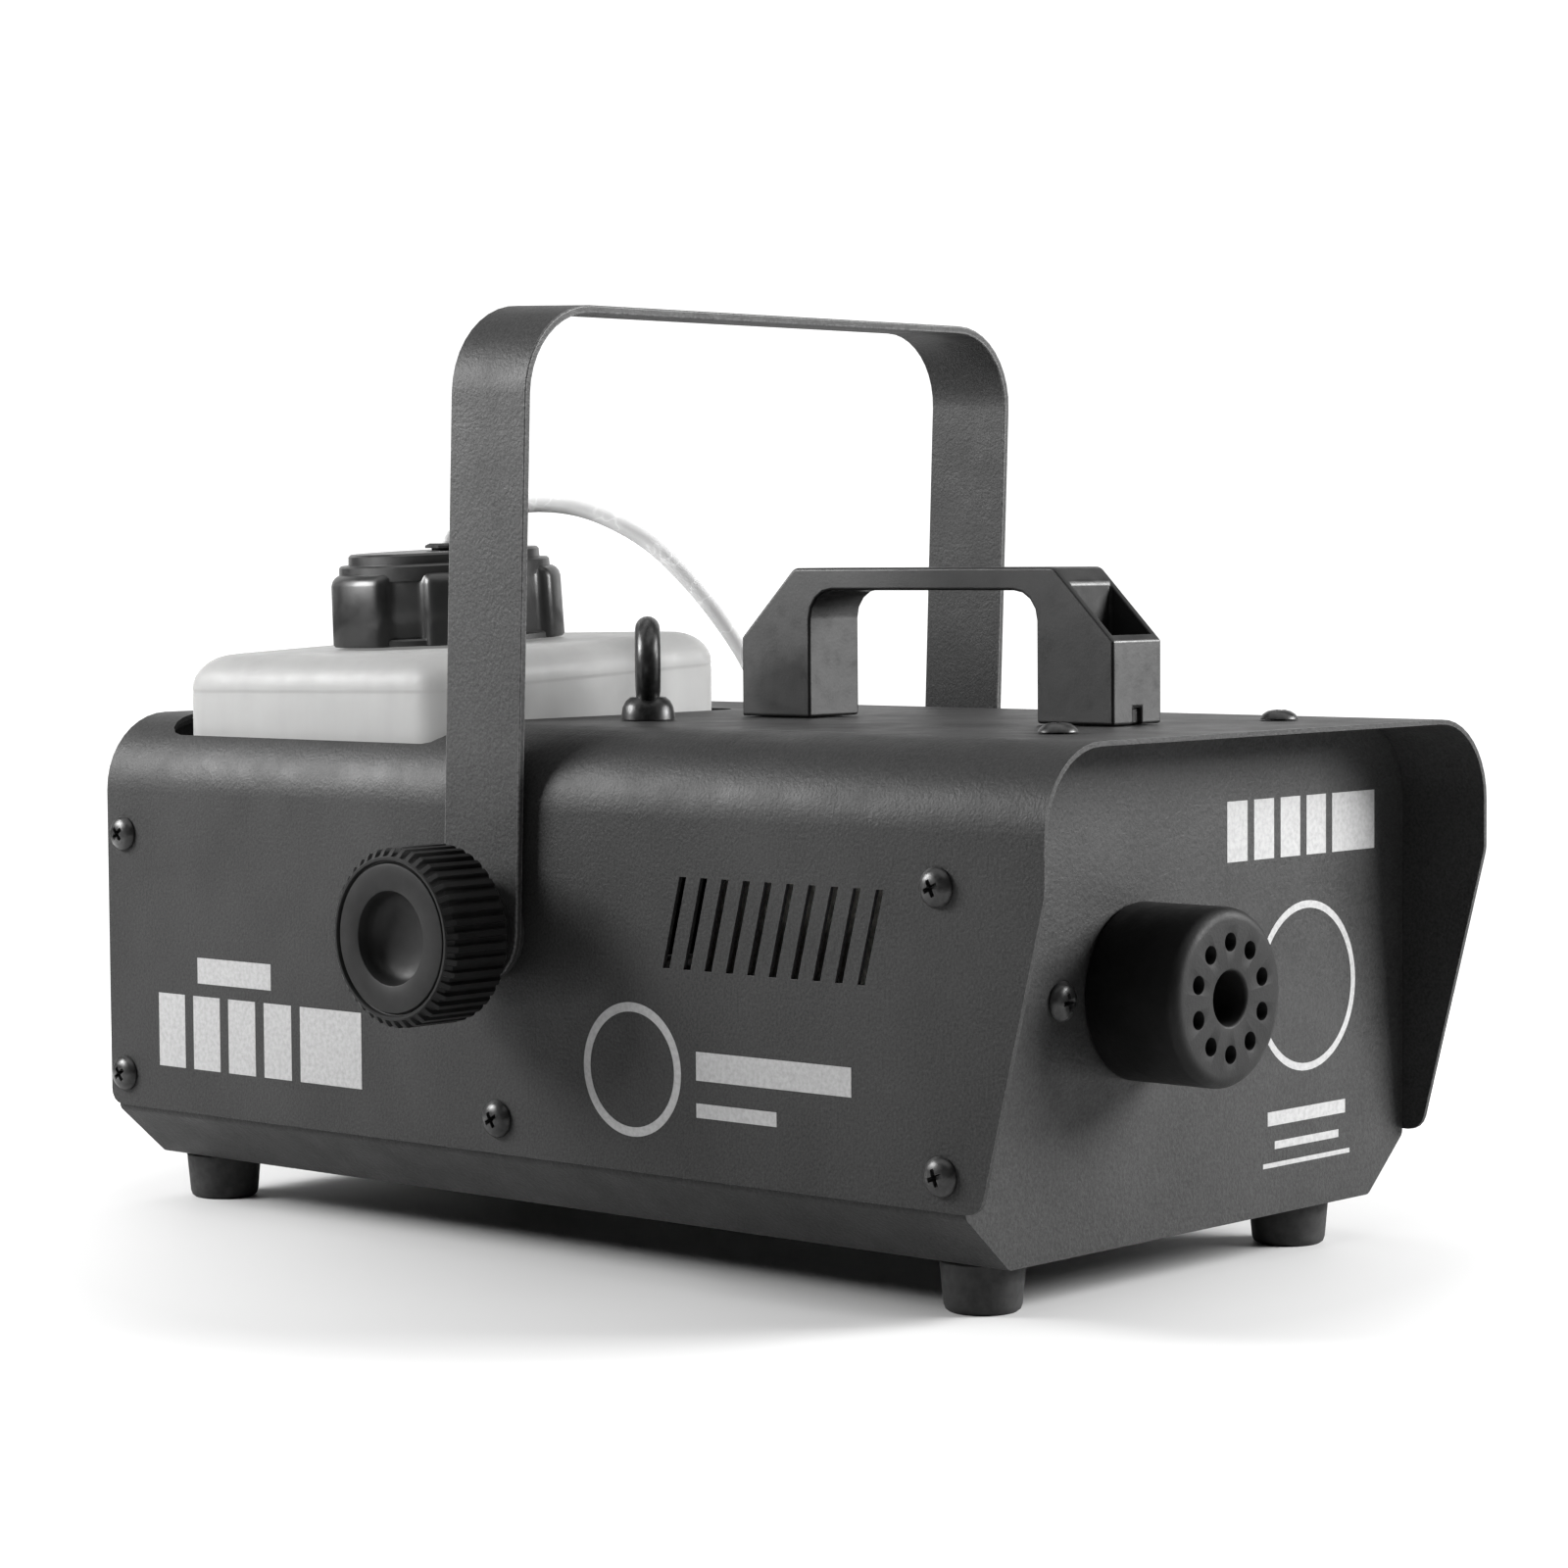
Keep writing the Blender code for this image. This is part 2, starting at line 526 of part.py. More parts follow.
def make_handle():
    low, shoulder, under = TOP_Z + GAP, HANDLE_TOP_Z - HANDLE_SLANT_Z, HANDLE_TOP_Z - HANDLE_BAR
    rear, front, slant = HANDLE_REAR_Y, HANDLE_FRONT_Y, HANDLE_SLANT_Y
    inner_rear, inner_front = rear - HANDLE_POST, front + HANDLE_POST
    inside = [(front, low, 0), (inner_front, low, 0), (inner_front, under, 0.0075)]
    inside += [(inner_rear, under, 0.0075), (inner_rear, low, 0), (rear, low, 0)]
    outside = [(rear, shoulder, 0.001), (rear - slant, HANDLE_TOP_Z, 0.003)]
    outside += [(front + slant, HANDLE_TOP_Z, 0.003), (front, shoulder, 0.001)]
    side_view = rounded_outline(inside + outside)
    handle = plate("carry_handle", side_view, 2 * HANDLE_HALF, (0, 0, 0), ACROSS_X, BLACK_PLASTIC)
    notch_low, notch_high = (-0.0016, front - 0.001, low - 0.001), (0.0016, front + 0.0012, low + 0.0042)
    notch = block("handle_notch", notch_low, notch_high)
    boolean(handle, "DIFFERENCE", notch)
    wall, floor_z = HANDLE_WALL, low + 0.0035
    half = HANDLE_HALF - wall
    pockets = ((front + wall, front + slant - 0.0040), (rear - slant + 0.0040, rear - wall))
    for name, (y0, y1) in zip(("front", "rear"), pockets):
        pocket = block(f"handle_{name}_pocket", (-half, y0, floor_z), (half, y1, HANDLE_TOP_Z + 0.01))
        boolean(handle, "DIFFERENCE", pocket)
    boolean(handle, "DIFFERENCE", holes("handle_holes", handle_screw_seats(), SCREW_HOLE_R, 0.012, "+Z"))
    for name, (x, y, _) in zip(("rear", "front"), handle_screw_seats()):
        screw(f"handle_screw_{name}", (x, y, floor_z), "+Z", 0.0095, 0.0040)


def make_eyelet():
    """A ring on a collar, whose shank goes through the cover."""
    collar_h = 0.0060
    major, minor = EYELET_RING_R, EYELET_WIRE_R
    collar = ((0, collar_h), (0.0045, collar_h), (0.0070, 0.0030), (0.0070, GAP), (0.0030, GAP),
              (0.0030, -0.0120), (0, -0.0120))
    eyelet = turned("safety_eyelet", collar, (EYELET_X, EYELET_Y, TOP_Z), "+Z", BLACK_SCREW, 16)
    centre = Vector((EYELET_X, EYELET_Y, TOP_Z + collar_h - 0.0018 + major + minor))
    section = [(major + minor * math.cos(a), minor * math.sin(a)) for a in angles_down(8)]
    loop = turned("eyelet_loop", section, centre, "+Z", None, 24, loop=True)
    loop.rotation_euler = (RIGHT_ANGLE, 0, EYELET_TURN)
    boolean(eyelet, "UNION", loop)


def angles_down(count):
    """Angles round a section, starting outside and running down."""
    return [-2 * math.pi * (i + 0.5) / count for i in range(count)]


# Fluid tank, cap and hose

def rounded_tank(name, low, high, corner, top, bottom, look=None):
    """A box with round upright edges and softer top and bottom rims."""
    low, high = Vector(low), Vector(high)
    bm = bmesh.new()
    bmesh.ops.create_cube(bm, size=1.0)
    bmesh.ops.scale(bm, vec=high - low, verts=bm.verts)
    bmesh.ops.translate(bm, vec=(low + high) / 2, verts=bm.verts)
    upright = [e for e in bm.edges if abs(e.verts[0].co.z - e.verts[1].co.z) > 0.01]
    bmesh.ops.bevel(bm, geom=upright, offset=corner, segments=4, profile=0.5, affect="EDGES")
    for z, offset in ((high.z, top), (low.z, bottom)):
        rim = [e for e in bm.edges if all(abs(v.co.z - z) < 0.0001 for v in e.verts)]
        bmesh.ops.bevel(bm, geom=rim, offset=offset, segments=3, profile=0.5, affect="EDGES")
    return add_object(name, mesh_from(name, bm), look)


def make_tank():
    wall = Vector((TANK_WALL, TANK_WALL, TANK_WALL))
    top, bottom = 0.0085, 0.0050
    tank = rounded_tank("tank_bottle", TANK_LOW, TANK_HIGH, TANK_CORNER, top, bottom, TANK_PLASTIC)
    inside = rounded_tank("tank_inside", TANK_LOW + wall, TANK_HIGH - wall, TANK_CORNER - TANK_WALL,
                          top - TANK_WALL, bottom - TANK_WALL)
    neck_low = TANK_HIGH.z - 0.0008
    neck = ((0, NECK_TOP_Z), (NECK_R, NECK_TOP_Z), (NECK_R, neck_low), (0, neck_low))
    bore = ((0, NECK_TOP_Z + 0.01), (NECK_BORE_R, NECK_TOP_Z + 0.01), (NECK_BORE_R, 0.140), (0, 0.140))
    boolean(tank, "UNION", turned("tank_neck", neck, (CAP_X, CAP_Y, 0), "+Z", None, 32))
    boolean(tank, "DIFFERENCE", inside)
    boolean(tank, "DIFFERENCE", turned("tank_mouth", bore, (CAP_X, CAP_Y, 0), "+Z", None, 32))


def make_cap():
    hole, bore, top = 0.0047, 0.0272, CAP_TOP_Z
    skirt, roof = TANK_HIGH.z + 0.0005, NECK_TOP_Z + GAP
    disc = [(hole, top), (0.0165, top), (0.0165, top - 0.0026)]
    disc += [(0.0280, top - 0.0028), (0.0295, top - 0.0056)]
    side = [(CAP_R, top - 0.0074), (CAP_R, skirt), (bore, skirt), (bore, roof), (hole, roof)]
    turned("tank_cap", disc + side, (CAP_X, CAP_Y, 0), "+Z", GLOSS_PLASTIC, 40, loop=True)
    make_grommet("cap_grommet", (CAP_X, CAP_Y), top, roof)
    make_grommet("hose_grommet", (HOSE_ENTRY_X, HOSE_ENTRY_Y), TOP_Z, TOP_Z - SHEET)


def make_grommet(name, centre, top, under):
    """A ring with a flange on each side of the sheet or lid that it sits in."""
    bore, waist, flange = HOSE_HOLE_R, 0.0044, 0.0062
    section = ((bore, top + 0.0016), (0.0050, top + 0.0016), (flange, top + 0.0010), (flange, top + GAP),
               (waist, top + GAP), (waist, under - GAP), (flange, under - GAP), (flange, under - 0.0015),
               (bore, under - 0.0015))
    turned(name, section, (*centre, 0), "+Z", RUBBER, 16, loop=True)


def arch_point(run, z):
    """A point on the hose's arch, run metres from the cap towards the place where it enters the cover."""
    span = Vector((HOSE_ENTRY_X - CAP_X, HOSE_ENTRY_Y - CAP_Y))
    flat = Vector((CAP_X, CAP_Y)) + span.normalized() * run
    return (flat.x, flat.y, z)


def make_hose():
    """From the bottom of the tank up through the cap, over in an arch, and through the cover to the pump."""
    up = [(CAP_X, CAP_Y, z) for z in (0.0500, 0.0900, 0.1300, 0.1650, 0.1750, 0.1823)]
    arch = [arch_point(run, z) for run, z in (
        (0.0042, 0.1873), (0.0130, 0.1911), (0.0266, 0.1931), (0.0418, 0.1908), (0.0582, 0.1825),
        (0.0719, 0.1697), (0.0829, 0.1555), (0.0889, 0.1450))]
    down = [(HOSE_ENTRY_X, HOSE_ENTRY_Y, z) for z in (0.1380, 0.1320, 0.1260)]
    to_pump = [(0.0170, 0.0190, 0.1060), (0.0290, 0.0160, 0.0840), (0.0470, 0.0130, 0.0660),
               (0.0610, 0.0120, 0.0520), (0.0600, 0.0120, 0.0400), (0.0500, 0.0120, PUMP_Z),
               (PUMP_IN_X + 0.0005, PUMP_Y, PUMP_Z)]
    tube("fluid_hose", up + arch + down + to_pump, HOSE_R, HOSE_PLASTIC)
    weight = ((0, 0.0495), (0.0050, 0.0485), (0.0060, 0.0460), (0.0060, 0.0400), (0, 0.0400))
    turned("hose_filter", weight, (CAP_X, CAP_Y, 0), "+Z", STEEL, SMALL_ROUND)


# Heater, nozzle and pump

def make_nozzle():
    seat = (NOZZLE_X, PANEL_Y, NOZZLE_Z)
    end, wall = NOZZLE_LENGTH, 0.0035
    cup = ((NOZZLE_BORE_R, end), (NOZZLE_R - 0.0025, end), (NOZZLE_R - 0.0008, end - 0.0008),
           (NOZZLE_R, end - 0.0028), (NOZZLE_R, GAP), (NOZZLE_R - wall, GAP), (NOZZLE_R - wall, end - 0.0045),
           (NOZZLE_BORE_R, end - 0.0045))
    nozzle = turned("nozzle", cup, seat, "-Y", BLACK_PLASTIC, 32, loop=True)
    jets = []
    for i in range(NOZZLE_JETS):
        angle = 2 * math.pi * i / NOZZLE_JETS
        jets.append((NOZZLE_X + NOZZLE_JET_CIRCLE * math.sin(angle), PANEL_Y - end,
                     NOZZLE_Z + NOZZLE_JET_CIRCLE * math.cos(angle)))
    boolean(nozzle, "DIFFERENCE", holes("nozzle_jets", jets, NOZZLE_JET_R, 0.014, "+Y", 10))
    for name, x in zip(("left", "right"), FRONT_SCREW_X):
        screw(f"front_screw_{name}", (x, PANEL_Y, NOZZLE_Z), "-Y")


def make_heater():
    axis = (NOZZLE_X, 0, NOZZLE_Z)
    front, rear, tip = -HEATER_FRONT_Y, -HEATER_REAR_Y, -PANEL_Y + 0.0120
    neck = ((0, tip), (HEATER_NECK_R, tip), (HEATER_NECK_R, front))
    block_profile = neck + ((HEATER_R, front), (HEATER_R, rear), (0, rear))
    turned("heater_block", block_profile, axis, "-Y", ALUMINIUM)
    jacket = ((HEATER_R + GAP, front - 0.002), (0.0350, front - 0.002), (0.0350, rear + 0.002),
              (HEATER_R + GAP, rear + 0.002))
    turned("heater_jacket", jacket, axis, "-Y", WOOL, ROUND, loop=True)
    plate_y = PANEL_Y + SHEET + GAP
    low, high = (NOZZLE_X - 0.0360, plate_y, 0.0450), (NOZZLE_X + 0.0360, plate_y + 0.0015, 0.1020)
    bracket = block("heater_bracket", low, high, STEEL)
    neck = [(NOZZLE_X, plate_y, NOZZLE_Z)]
    boolean(bracket, "DIFFERENCE", holes("bracket_neck_hole", neck, 0.0084, 0.01, "+Y", ROUND))
    fronts = [(x, plate_y, NOZZLE_Z) for x in FRONT_SCREW_X]
    boolean(bracket, "DIFFERENCE", holes("bracket_screw_holes", fronts, SCREW_HOLE_R, 0.01, "+Y"))
    disc = ((0, 0.0090), (0.0050, 0.0090), (0.0050, 0.0045), (0.0080, 0.0045), (0.0080, GAP), (0, GAP))
    turned("thermostat", disc, (NOZZLE_X, HEATER_REAR_Y, NOZZLE_Z + 0.0140), "+Y", STEEL)


def make_pump():
    profile = ((0, PUMP_IN_X), (0.0028, PUMP_IN_X), (0.0032, 0.0330), (0.0100, 0.0320), (0.0120, 0.0220),
               (PUMP_R, 0.0210), (PUMP_R, -0.0270), (0.0120, -0.0280), (0.0100, -0.0370), (0.0035, -0.0380),
               (0.0030, PUMP_OUT_X), (0, PUMP_OUT_X))
    pump = turned("pump", profile, (0, PUMP_Y, PUMP_Z), "+X", BLACK_PLASTIC)
    floor_z = PAN_Z + SHEET + GAP
    boolean(pump, "UNION", block("pump_saddle", (-0.0150, PUMP_Y - 0.0160, floor_z),
                                 (0.0090, PUMP_Y + 0.0160, PUMP_Z - 0.0110)))
    route = [(PUMP_OUT_X - 0.0005, PUMP_Y, PUMP_Z), (-0.0560, 0.0120, 0.0370), (-0.0650, 0.0115, 0.0460),
             (-0.0640, 0.0100, 0.0620), (-0.0520, 0.0060, 0.0725), (-0.0360, 0.0010, 0.0735),
             (NOZZLE_X, -0.0090, NOZZLE_Z), (NOZZLE_X, HEATER_REAR_Y + 0.0005, NOZZLE_Z)]
    tube("pump_pipe", route, 0.0020, STEEL)


def make_board():
    floor_z = PAN_Z + SHEET + GAP
    low = floor_z + 0.0050
    board = block("control_board", (0.0240, -0.1000, low), (0.0740, -0.0150, low + 0.0016), BOARD)
    for x, y in ((0.0290, -0.0950), (0.0690, -0.0950), (0.0290, -0.0200), (0.0690, -0.0200)):
        post = block("board_post", (x - 0.0030, y - 0.0030, floor_z), (x + 0.0030, y + 0.0030, low + 0.0010))
        boolean(board, "UNION", post)
    for name, corner, size in (("transformer", (0.0340, -0.0900), (0.0320, 0.0280, 0.0240)),
                               ("relay", (0.0320, -0.0540), (0.0150, 0.0190, 0.0150)),
                               ("terminals", (0.0280, -0.0300), (0.0420, 0.0080, 0.0100))):
        start = Vector((*corner, low + 0.0010))
        boolean(board, "UNION", block(f"board_{name}", start, start + Vector(size)))


# Rear panel: power inlet, switch, fuse and remote socket

def make_inlet():
    inlet = block("power_inlet", *rear_box(INLET_X, INLET_Z, 0.0272, 0.0192, 0.0200, 0.0020), BLACK_PLASTIC)
    (x0, _, z0), (x1, y1, z1) = rear_box(INLET_X, INLET_Z, 0.0320, 0.0240, 0, 0.0022)
    boolean(inlet, "UNION", block("inlet_flange", (x0, REAR_PANEL_Y + GAP, z0), (x1, y1, z1)))
    recess = block("inlet_recess", *rear_box(INLET_X, INLET_Z, 0.0240, 0.0160, 0.0150, 0.01))
    boolean(inlet, "DIFFERENCE", recess)


def make_switch():
    """A frame in the panel, and a rocker that turns in it about a level axis."""
    corners = rear_box(SWITCH_X, SWITCH_Z, 0.0130, 0.0192, 0.0160, 0.0016)
    frame = block("switch_frame", *corners, BLACK_PLASTIC)
    (x0, _, z0), (x1, y1, z1) = rear_box(SWITCH_X, SWITCH_Z, 0.0150, 0.0210, 0, 0.0018)
    boolean(frame, "UNION", block("switch_flange", (x0, REAR_PANEL_Y + GAP, z0), (x1, y1, z1)))
    recess = block("switch_recess", *rear_box(SWITCH_X, SWITCH_Z, 0.0104, 0.0174, 0.0080, 0.01))
    boolean(frame, "DIFFERENCE", recess)
    cos, sin = math.cos(SWITCH_OFF), math.sin(SWITCH_OFF)
    outline = rounded_outline([(-0.0030, -0.0074, 0), (0.0026, -0.0079, 0), (0.0012, 0, 0.01),
                               (0.0026, 0.0079, 0), (-0.0030, 0.0074, 0)], steps=3)
    rocker = [(y * cos - z * sin, y * sin + z * cos) for y, z in outline]
    plate("power_rocker", rocker, 0.0098, (SWITCH_X, REAR_PANEL_Y, SWITCH_Z), ACROSS_X, BLACK_PLASTIC)


def make_fuse():
    seat = (FUSE_X, REAR_PANEL_Y, FUSE_Z)
    body = ((0, -0.0200), (0.0040, -0.0200), (0.0040, 0.0025), (0.0070, 0.0025), (0.0075, 0.0018),
            (0.0075, GAP), (0.0058, GAP), (0.0058, -0.0260), (0, -0.0260))
    turned("fuse_holder", body, seat, "+Y", BLACK_PLASTIC, 20)
    carrier = ((0, 0.0085), (0.0050, 0.0085), (0.0056, 0.0075), (0.0056, 0.0028), (0.0037, 0.0028),
               (0.0037, -0.0150), (0, -0.0150))
    cap = turned("fuse_cap", carrier, seat, "+Y", BLACK_PLASTIC, 20)
    x, y, z = seat
    slot = block("fuse_slot", (x - 0.0006, y + 0.0073, z - 0.0070), (x + 0.0006, y + 0.0100, z + 0.0070))
    boolean(cap, "DIFFERENCE", slot)


def make_remote():
    seat = (REMOTE_X, REAR_PANEL_Y, REMOTE_Z)
    body = ((0, -0.0060), (0.0063, -0.0060), (0.0063, 0.0018), (0.0100, 0.0018), (0.0105, 0.0012),
            (0.0105, GAP), (0.0080, GAP), (0.0080, -0.0120), (0, -0.0120))
    turned("remote_socket", body, seat, "+Y", BLACK_PLASTIC, 20)


def centre_over_origin():
    for obj in bpy.data.objects:
        if obj.parent is None:
            obj.location.y -= BACK_SHIFT


def main():
    make_pan()
    make_cover()
    make_tray()
    make_feet()
    make_cover_screws()
    make_bracket()
    make_knobs()
    make_handle()
    make_eyelet()
    make_tank()
    make_cap()
    make_hose()
    make_nozzle()
    make_heater()
    make_pump()
    make_board()
    make_inlet()
    make_switch()
    make_fuse()
    make_remote()
    centre_over_origin()


main()
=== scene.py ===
"""The looks of a fog machine: powder-coated steel, moulded plastic, a milky tank and a clear hose.

Metres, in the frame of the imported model: +Z up, the nozzle facing -Y, the origin on the floor.
"""
import json
import math

import bmesh
import bpy
from mathutils import Matrix, Vector


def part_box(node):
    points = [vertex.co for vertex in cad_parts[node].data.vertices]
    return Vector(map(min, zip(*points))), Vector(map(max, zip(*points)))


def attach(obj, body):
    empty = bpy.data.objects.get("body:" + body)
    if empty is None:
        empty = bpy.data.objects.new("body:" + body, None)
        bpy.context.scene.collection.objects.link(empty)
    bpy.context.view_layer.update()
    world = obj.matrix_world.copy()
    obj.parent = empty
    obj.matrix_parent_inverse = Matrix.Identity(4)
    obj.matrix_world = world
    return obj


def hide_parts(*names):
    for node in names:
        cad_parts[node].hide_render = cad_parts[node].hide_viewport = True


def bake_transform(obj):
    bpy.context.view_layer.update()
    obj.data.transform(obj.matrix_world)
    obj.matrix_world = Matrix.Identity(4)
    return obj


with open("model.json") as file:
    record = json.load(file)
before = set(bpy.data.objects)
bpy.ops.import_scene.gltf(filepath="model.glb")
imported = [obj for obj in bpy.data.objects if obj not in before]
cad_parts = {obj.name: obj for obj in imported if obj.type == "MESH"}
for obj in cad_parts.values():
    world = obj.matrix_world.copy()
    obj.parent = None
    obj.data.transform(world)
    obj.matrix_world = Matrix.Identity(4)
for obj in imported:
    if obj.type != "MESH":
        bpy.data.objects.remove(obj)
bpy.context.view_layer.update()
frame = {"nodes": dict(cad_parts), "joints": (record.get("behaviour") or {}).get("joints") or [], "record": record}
NODES = frame["nodes"]
JOINTS = {joint["name"]: joint for joint in frame["joints"]}

# Camera: metres from the origin, turns in degrees, and lens in mm
CAMERA_AT = (-0.80425, -0.73097, 0.17826)
CAMERA_YAW, CAMERA_PITCH, CAMERA_ROLL = -48.016, -3.209, -0.416
CAMERA_LENS = 93.86

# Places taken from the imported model
COVER_LOW, COVER_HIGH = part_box("top_cover")
PIVOT = Vector(JOINTS["bracket_tilt"]["pos_m"])
SIDES = {"left": -1, "right": 1}

RIGHT_ANGLE = math.pi / 2
# Turns that point a shape's own +Z each way
TOWARDS = {
    "+Z": Matrix.Identity(4),
    "-Z": Matrix.Rotation(math.pi, 4, "X"),
    "+X": Matrix.Rotation(RIGHT_ANGLE, 4, "Y"),
    "-X": Matrix.Rotation(-RIGHT_ANGLE, 4, "Y"),
    "+Y": Matrix.Rotation(-RIGHT_ANGLE, 4, "X"),
    "-Y": Matrix.Rotation(RIGHT_ANGLE, 4, "X"),
}


# Materials

# The range that a noise texture's values mostly keep to
NOISE_LOW, NOISE_HIGH = 0.3, 0.7


class Look:
    """A node material under construction, with its coordinates in metres on the piece itself."""

    def __init__(self, name, roughness=0.5, metallic=0.0, **sockets):
        self.material = bpy.data.materials.new(name)
        self.material.use_nodes = True
        self.tree = self.material.node_tree
        self.shader = self.tree.nodes["Principled BSDF"]
        self.shader.inputs["Roughness"].default_value = roughness
        self.shader.inputs["Metallic"].default_value = metallic
        for socket, value in sockets.items():
            self.shader.inputs[socket.replace("_", " ")].default_value = value
        self.place = self.tree.nodes.new("ShaderNodeTexCoord").outputs["Object"]

    def add(self, kind, **settings):
        node = self.tree.nodes.new(kind)
        for key, value in settings.items():
            setattr(node, key, value)
        return node

    def link(self, source, target):
        self.tree.links.new(source, target)

    def stretched(self, x, y, z):
        """The coordinates scaled along each axis, for grain that runs one way."""
        mapping = self.add("ShaderNodeMapping")
        mapping.inputs["Scale"].default_value = (x, y, z)
        self.link(self.place, mapping.inputs["Vector"])
        return mapping.outputs["Vector"]

    def noise(self, size, detail=3.0, roughness=0.55, place=None):
        """Cloudy noise, 0 to 1, whose grains are about size metres across."""
        node = self.add("ShaderNodeTexNoise")
        node.inputs["Scale"].default_value = 1.0 / size
        node.inputs["Detail"].default_value = detail
        node.inputs["Roughness"].default_value = roughness
        self.link(place or self.place, node.inputs["Vector"])
        return node.outputs["Fac"]

    def cells(self, size):
        node = self.add("ShaderNodeTexVoronoi", feature="F1")
        node.inputs["Scale"].default_value = 1.0 / size
        self.link(self.place, node.inputs["Vector"])
        return node.outputs["Distance"]

    def maths(self, operation, a, b):
        """The result for a and b, each a socket or a number."""
        node = self.add("ShaderNodeMath", operation=operation)
        for socket, value in zip(node.inputs, (a, b)):
            if isinstance(value, float):
                socket.default_value = value
            else:
                self.link(value, socket)
        return node.outputs[0]

    def mixed(self, first, first_share, second, second_share):
        """The two values added, each times its share."""
        return self.maths("ADD", self.maths("MULTIPLY", first, first_share),
                          self.maths("MULTIPLY", second, second_share))

    def colours(self, value, *stops):
        """A ramp of (position, grey or colour) stops, as the base colour."""
        ramp = self.add("ShaderNodeValToRGB")
        elements = ramp.color_ramp.elements
        while len(elements) < len(stops):
            elements.new(0.5)
        for element, (position, colour) in zip(elements, stops):
            element.position = position
            shade = (colour,) * 3 if isinstance(colour, float) else colour
            element.color = (*shade, 1.0)
        self.link(value, ramp.inputs["Fac"])
        self.link(ramp.outputs["Color"], self.shader.inputs["Base Color"])

    def rough(self, value, low, high):
        """Roughness that goes from low to high as the noise goes through its range."""
        node = self.add("ShaderNodeMapRange")
        self.link(value, node.inputs["Value"])
        ends = {"From Min": NOISE_LOW, "From Max": NOISE_HIGH, "To Min": low, "To Max": high}
        for socket, number in ends.items():
            node.inputs[socket].default_value = number
        self.link(node.outputs["Result"], self.shader.inputs["Roughness"])

    def bumps(self, *layers):
        """(height, depth in metres, strength) layers of bump, one on another."""
        below = None
        for height, depth, strength in layers:
            node = self.add("ShaderNodeBump")
            node.inputs["Strength"].default_value = strength
            node.inputs["Distance"].default_value = depth
            self.link(height, node.inputs["Height"])
            if below:
                self.link(below, node.inputs["Normal"])
            below = node.outputs["Normal"]
        self.link(below, self.shader.inputs["Normal"])


def powder_coat(name, dark, light, roughness=0.5):
    """Baked textured powder: fine orange peel and a tone that is cloudy and grainy."""
    look = Look(name, Specular_IOR_Level=0.2)
    fine, peel, cloud = look.noise(0.0007, 2.0), look.noise(0.0014, 3.0), look.noise(0.035, 4.0)
    tone = look.mixed(fine, 0.65, cloud, 0.35)
    look.colours(tone, (0.34, dark * 0.75), (0.66, light * 1.2))
    look.rough(look.noise(0.012, 4.0), roughness - 0.05, roughness + 0.06)
    look.bumps((peel, 0.00016, 0.6), (fine, 0.00008, 0.6))
    return look.material


def moulded_plastic(name, dark, light, roughness, grain=0.0006, depth=0.00003, coat=0.0, shine=0.4):
    """Moulded plastic with a spark-eroded grain and slight handling marks."""
    look = Look(name, Specular_IOR_Level=shine, Coat_Weight=coat, Coat_Roughness=0.12)
    cloud, fine = look.noise(0.010, 4.0), look.noise(grain, 2.0)
    look.colours(cloud, (0.35, dark), (0.65, light))
    look.rough(look.noise(0.004, 5.0), roughness - 0.05, roughness + 0.08)
    look.bumps((fine, depth, 0.5), (cloud, 0.0001, 0.08))
    return look.material


def rubber():
    look = Look("black_rubber_look", Specular_IOR_Level=0.35)
    look.colours(look.noise(0.003, 4.0), (0.3, 0.012), (0.7, 0.024))
    look.rough(look.noise(0.002, 3.0), 0.62, 0.8)
    look.bumps((look.noise(0.0004, 3.0), 0.00005, 0.5))
    return look.material


def blackened_steel():
    """Blackened, lightly oiled steel screws and eyelet, with fine tooling marks."""
    look = Look("blackened_steel_look", metallic=0.2, Specular_IOR_Level=0.45)
    look.colours(look.noise(0.0012, 4.0), (0.3, 0.010), (0.75, 0.030))
    look.rough(look.noise(0.0010, 3.0), 0.28, 0.42)
    look.bumps((look.noise(0.0006, 3.0), 0.00002, 0.3))
    return look.material


def milky_plastic():
    """Blow-moulded polyethylene: light scatters in the wall, with faint flow lines and a soft sheen.

    A little emission stands for the light that the hollow bottle passes from behind.
    """
    look = Look("milky_plastic_look", Specular_IOR_Level=0.25, Emission_Color=(1.0, 1.0, 0.99, 1.0),
                Emission_Strength=0.18, Subsurface_Weight=0.6, Subsurface_Scale=0.012,
                Subsurface_Radius=(1.0, 0.95, 0.9), IOR=1.50)
    lines = look.noise(0.006, 3.0, place=look.stretched(1.0, 1.0, 0.22))
    tone = look.mixed(lines, 0.5, look.noise(0.03), 0.5)
    look.colours(tone, (0.30, (0.135, 0.135, 0.134)), (0.70, (0.165, 0.165, 0.163)))
    look.rough(look.noise(0.008, 4.0), 0.42, 0.58)
    look.bumps((look.noise(0.010, 2.0), 0.0006, 0.20), (look.noise(0.0007, 2.0), 0.00003, 0.3))
    return look.material


def clear_hose():
    """Soft clear tube with a little fog fluid in it, seen as paler bands."""
    look = Look("clear_hose_look", Specular_IOR_Level=0.5, Subsurface_Weight=0.5, Subsurface_Scale=0.003,
                Subsurface_Radius=(1.0, 1.0, 1.0), IOR=1.45)
    bands = look.noise(0.010, 2.0)
    look.colours(bands, (0.42, 0.66), (0.55, 0.70), (0.57, 0.85), (0.59, 0.70))
    look.rough(look.noise(0.003), 0.14, 0.26)
    look.bumps((look.noise(0.002, 2.0), 0.00008, 0.2))
    return look.material


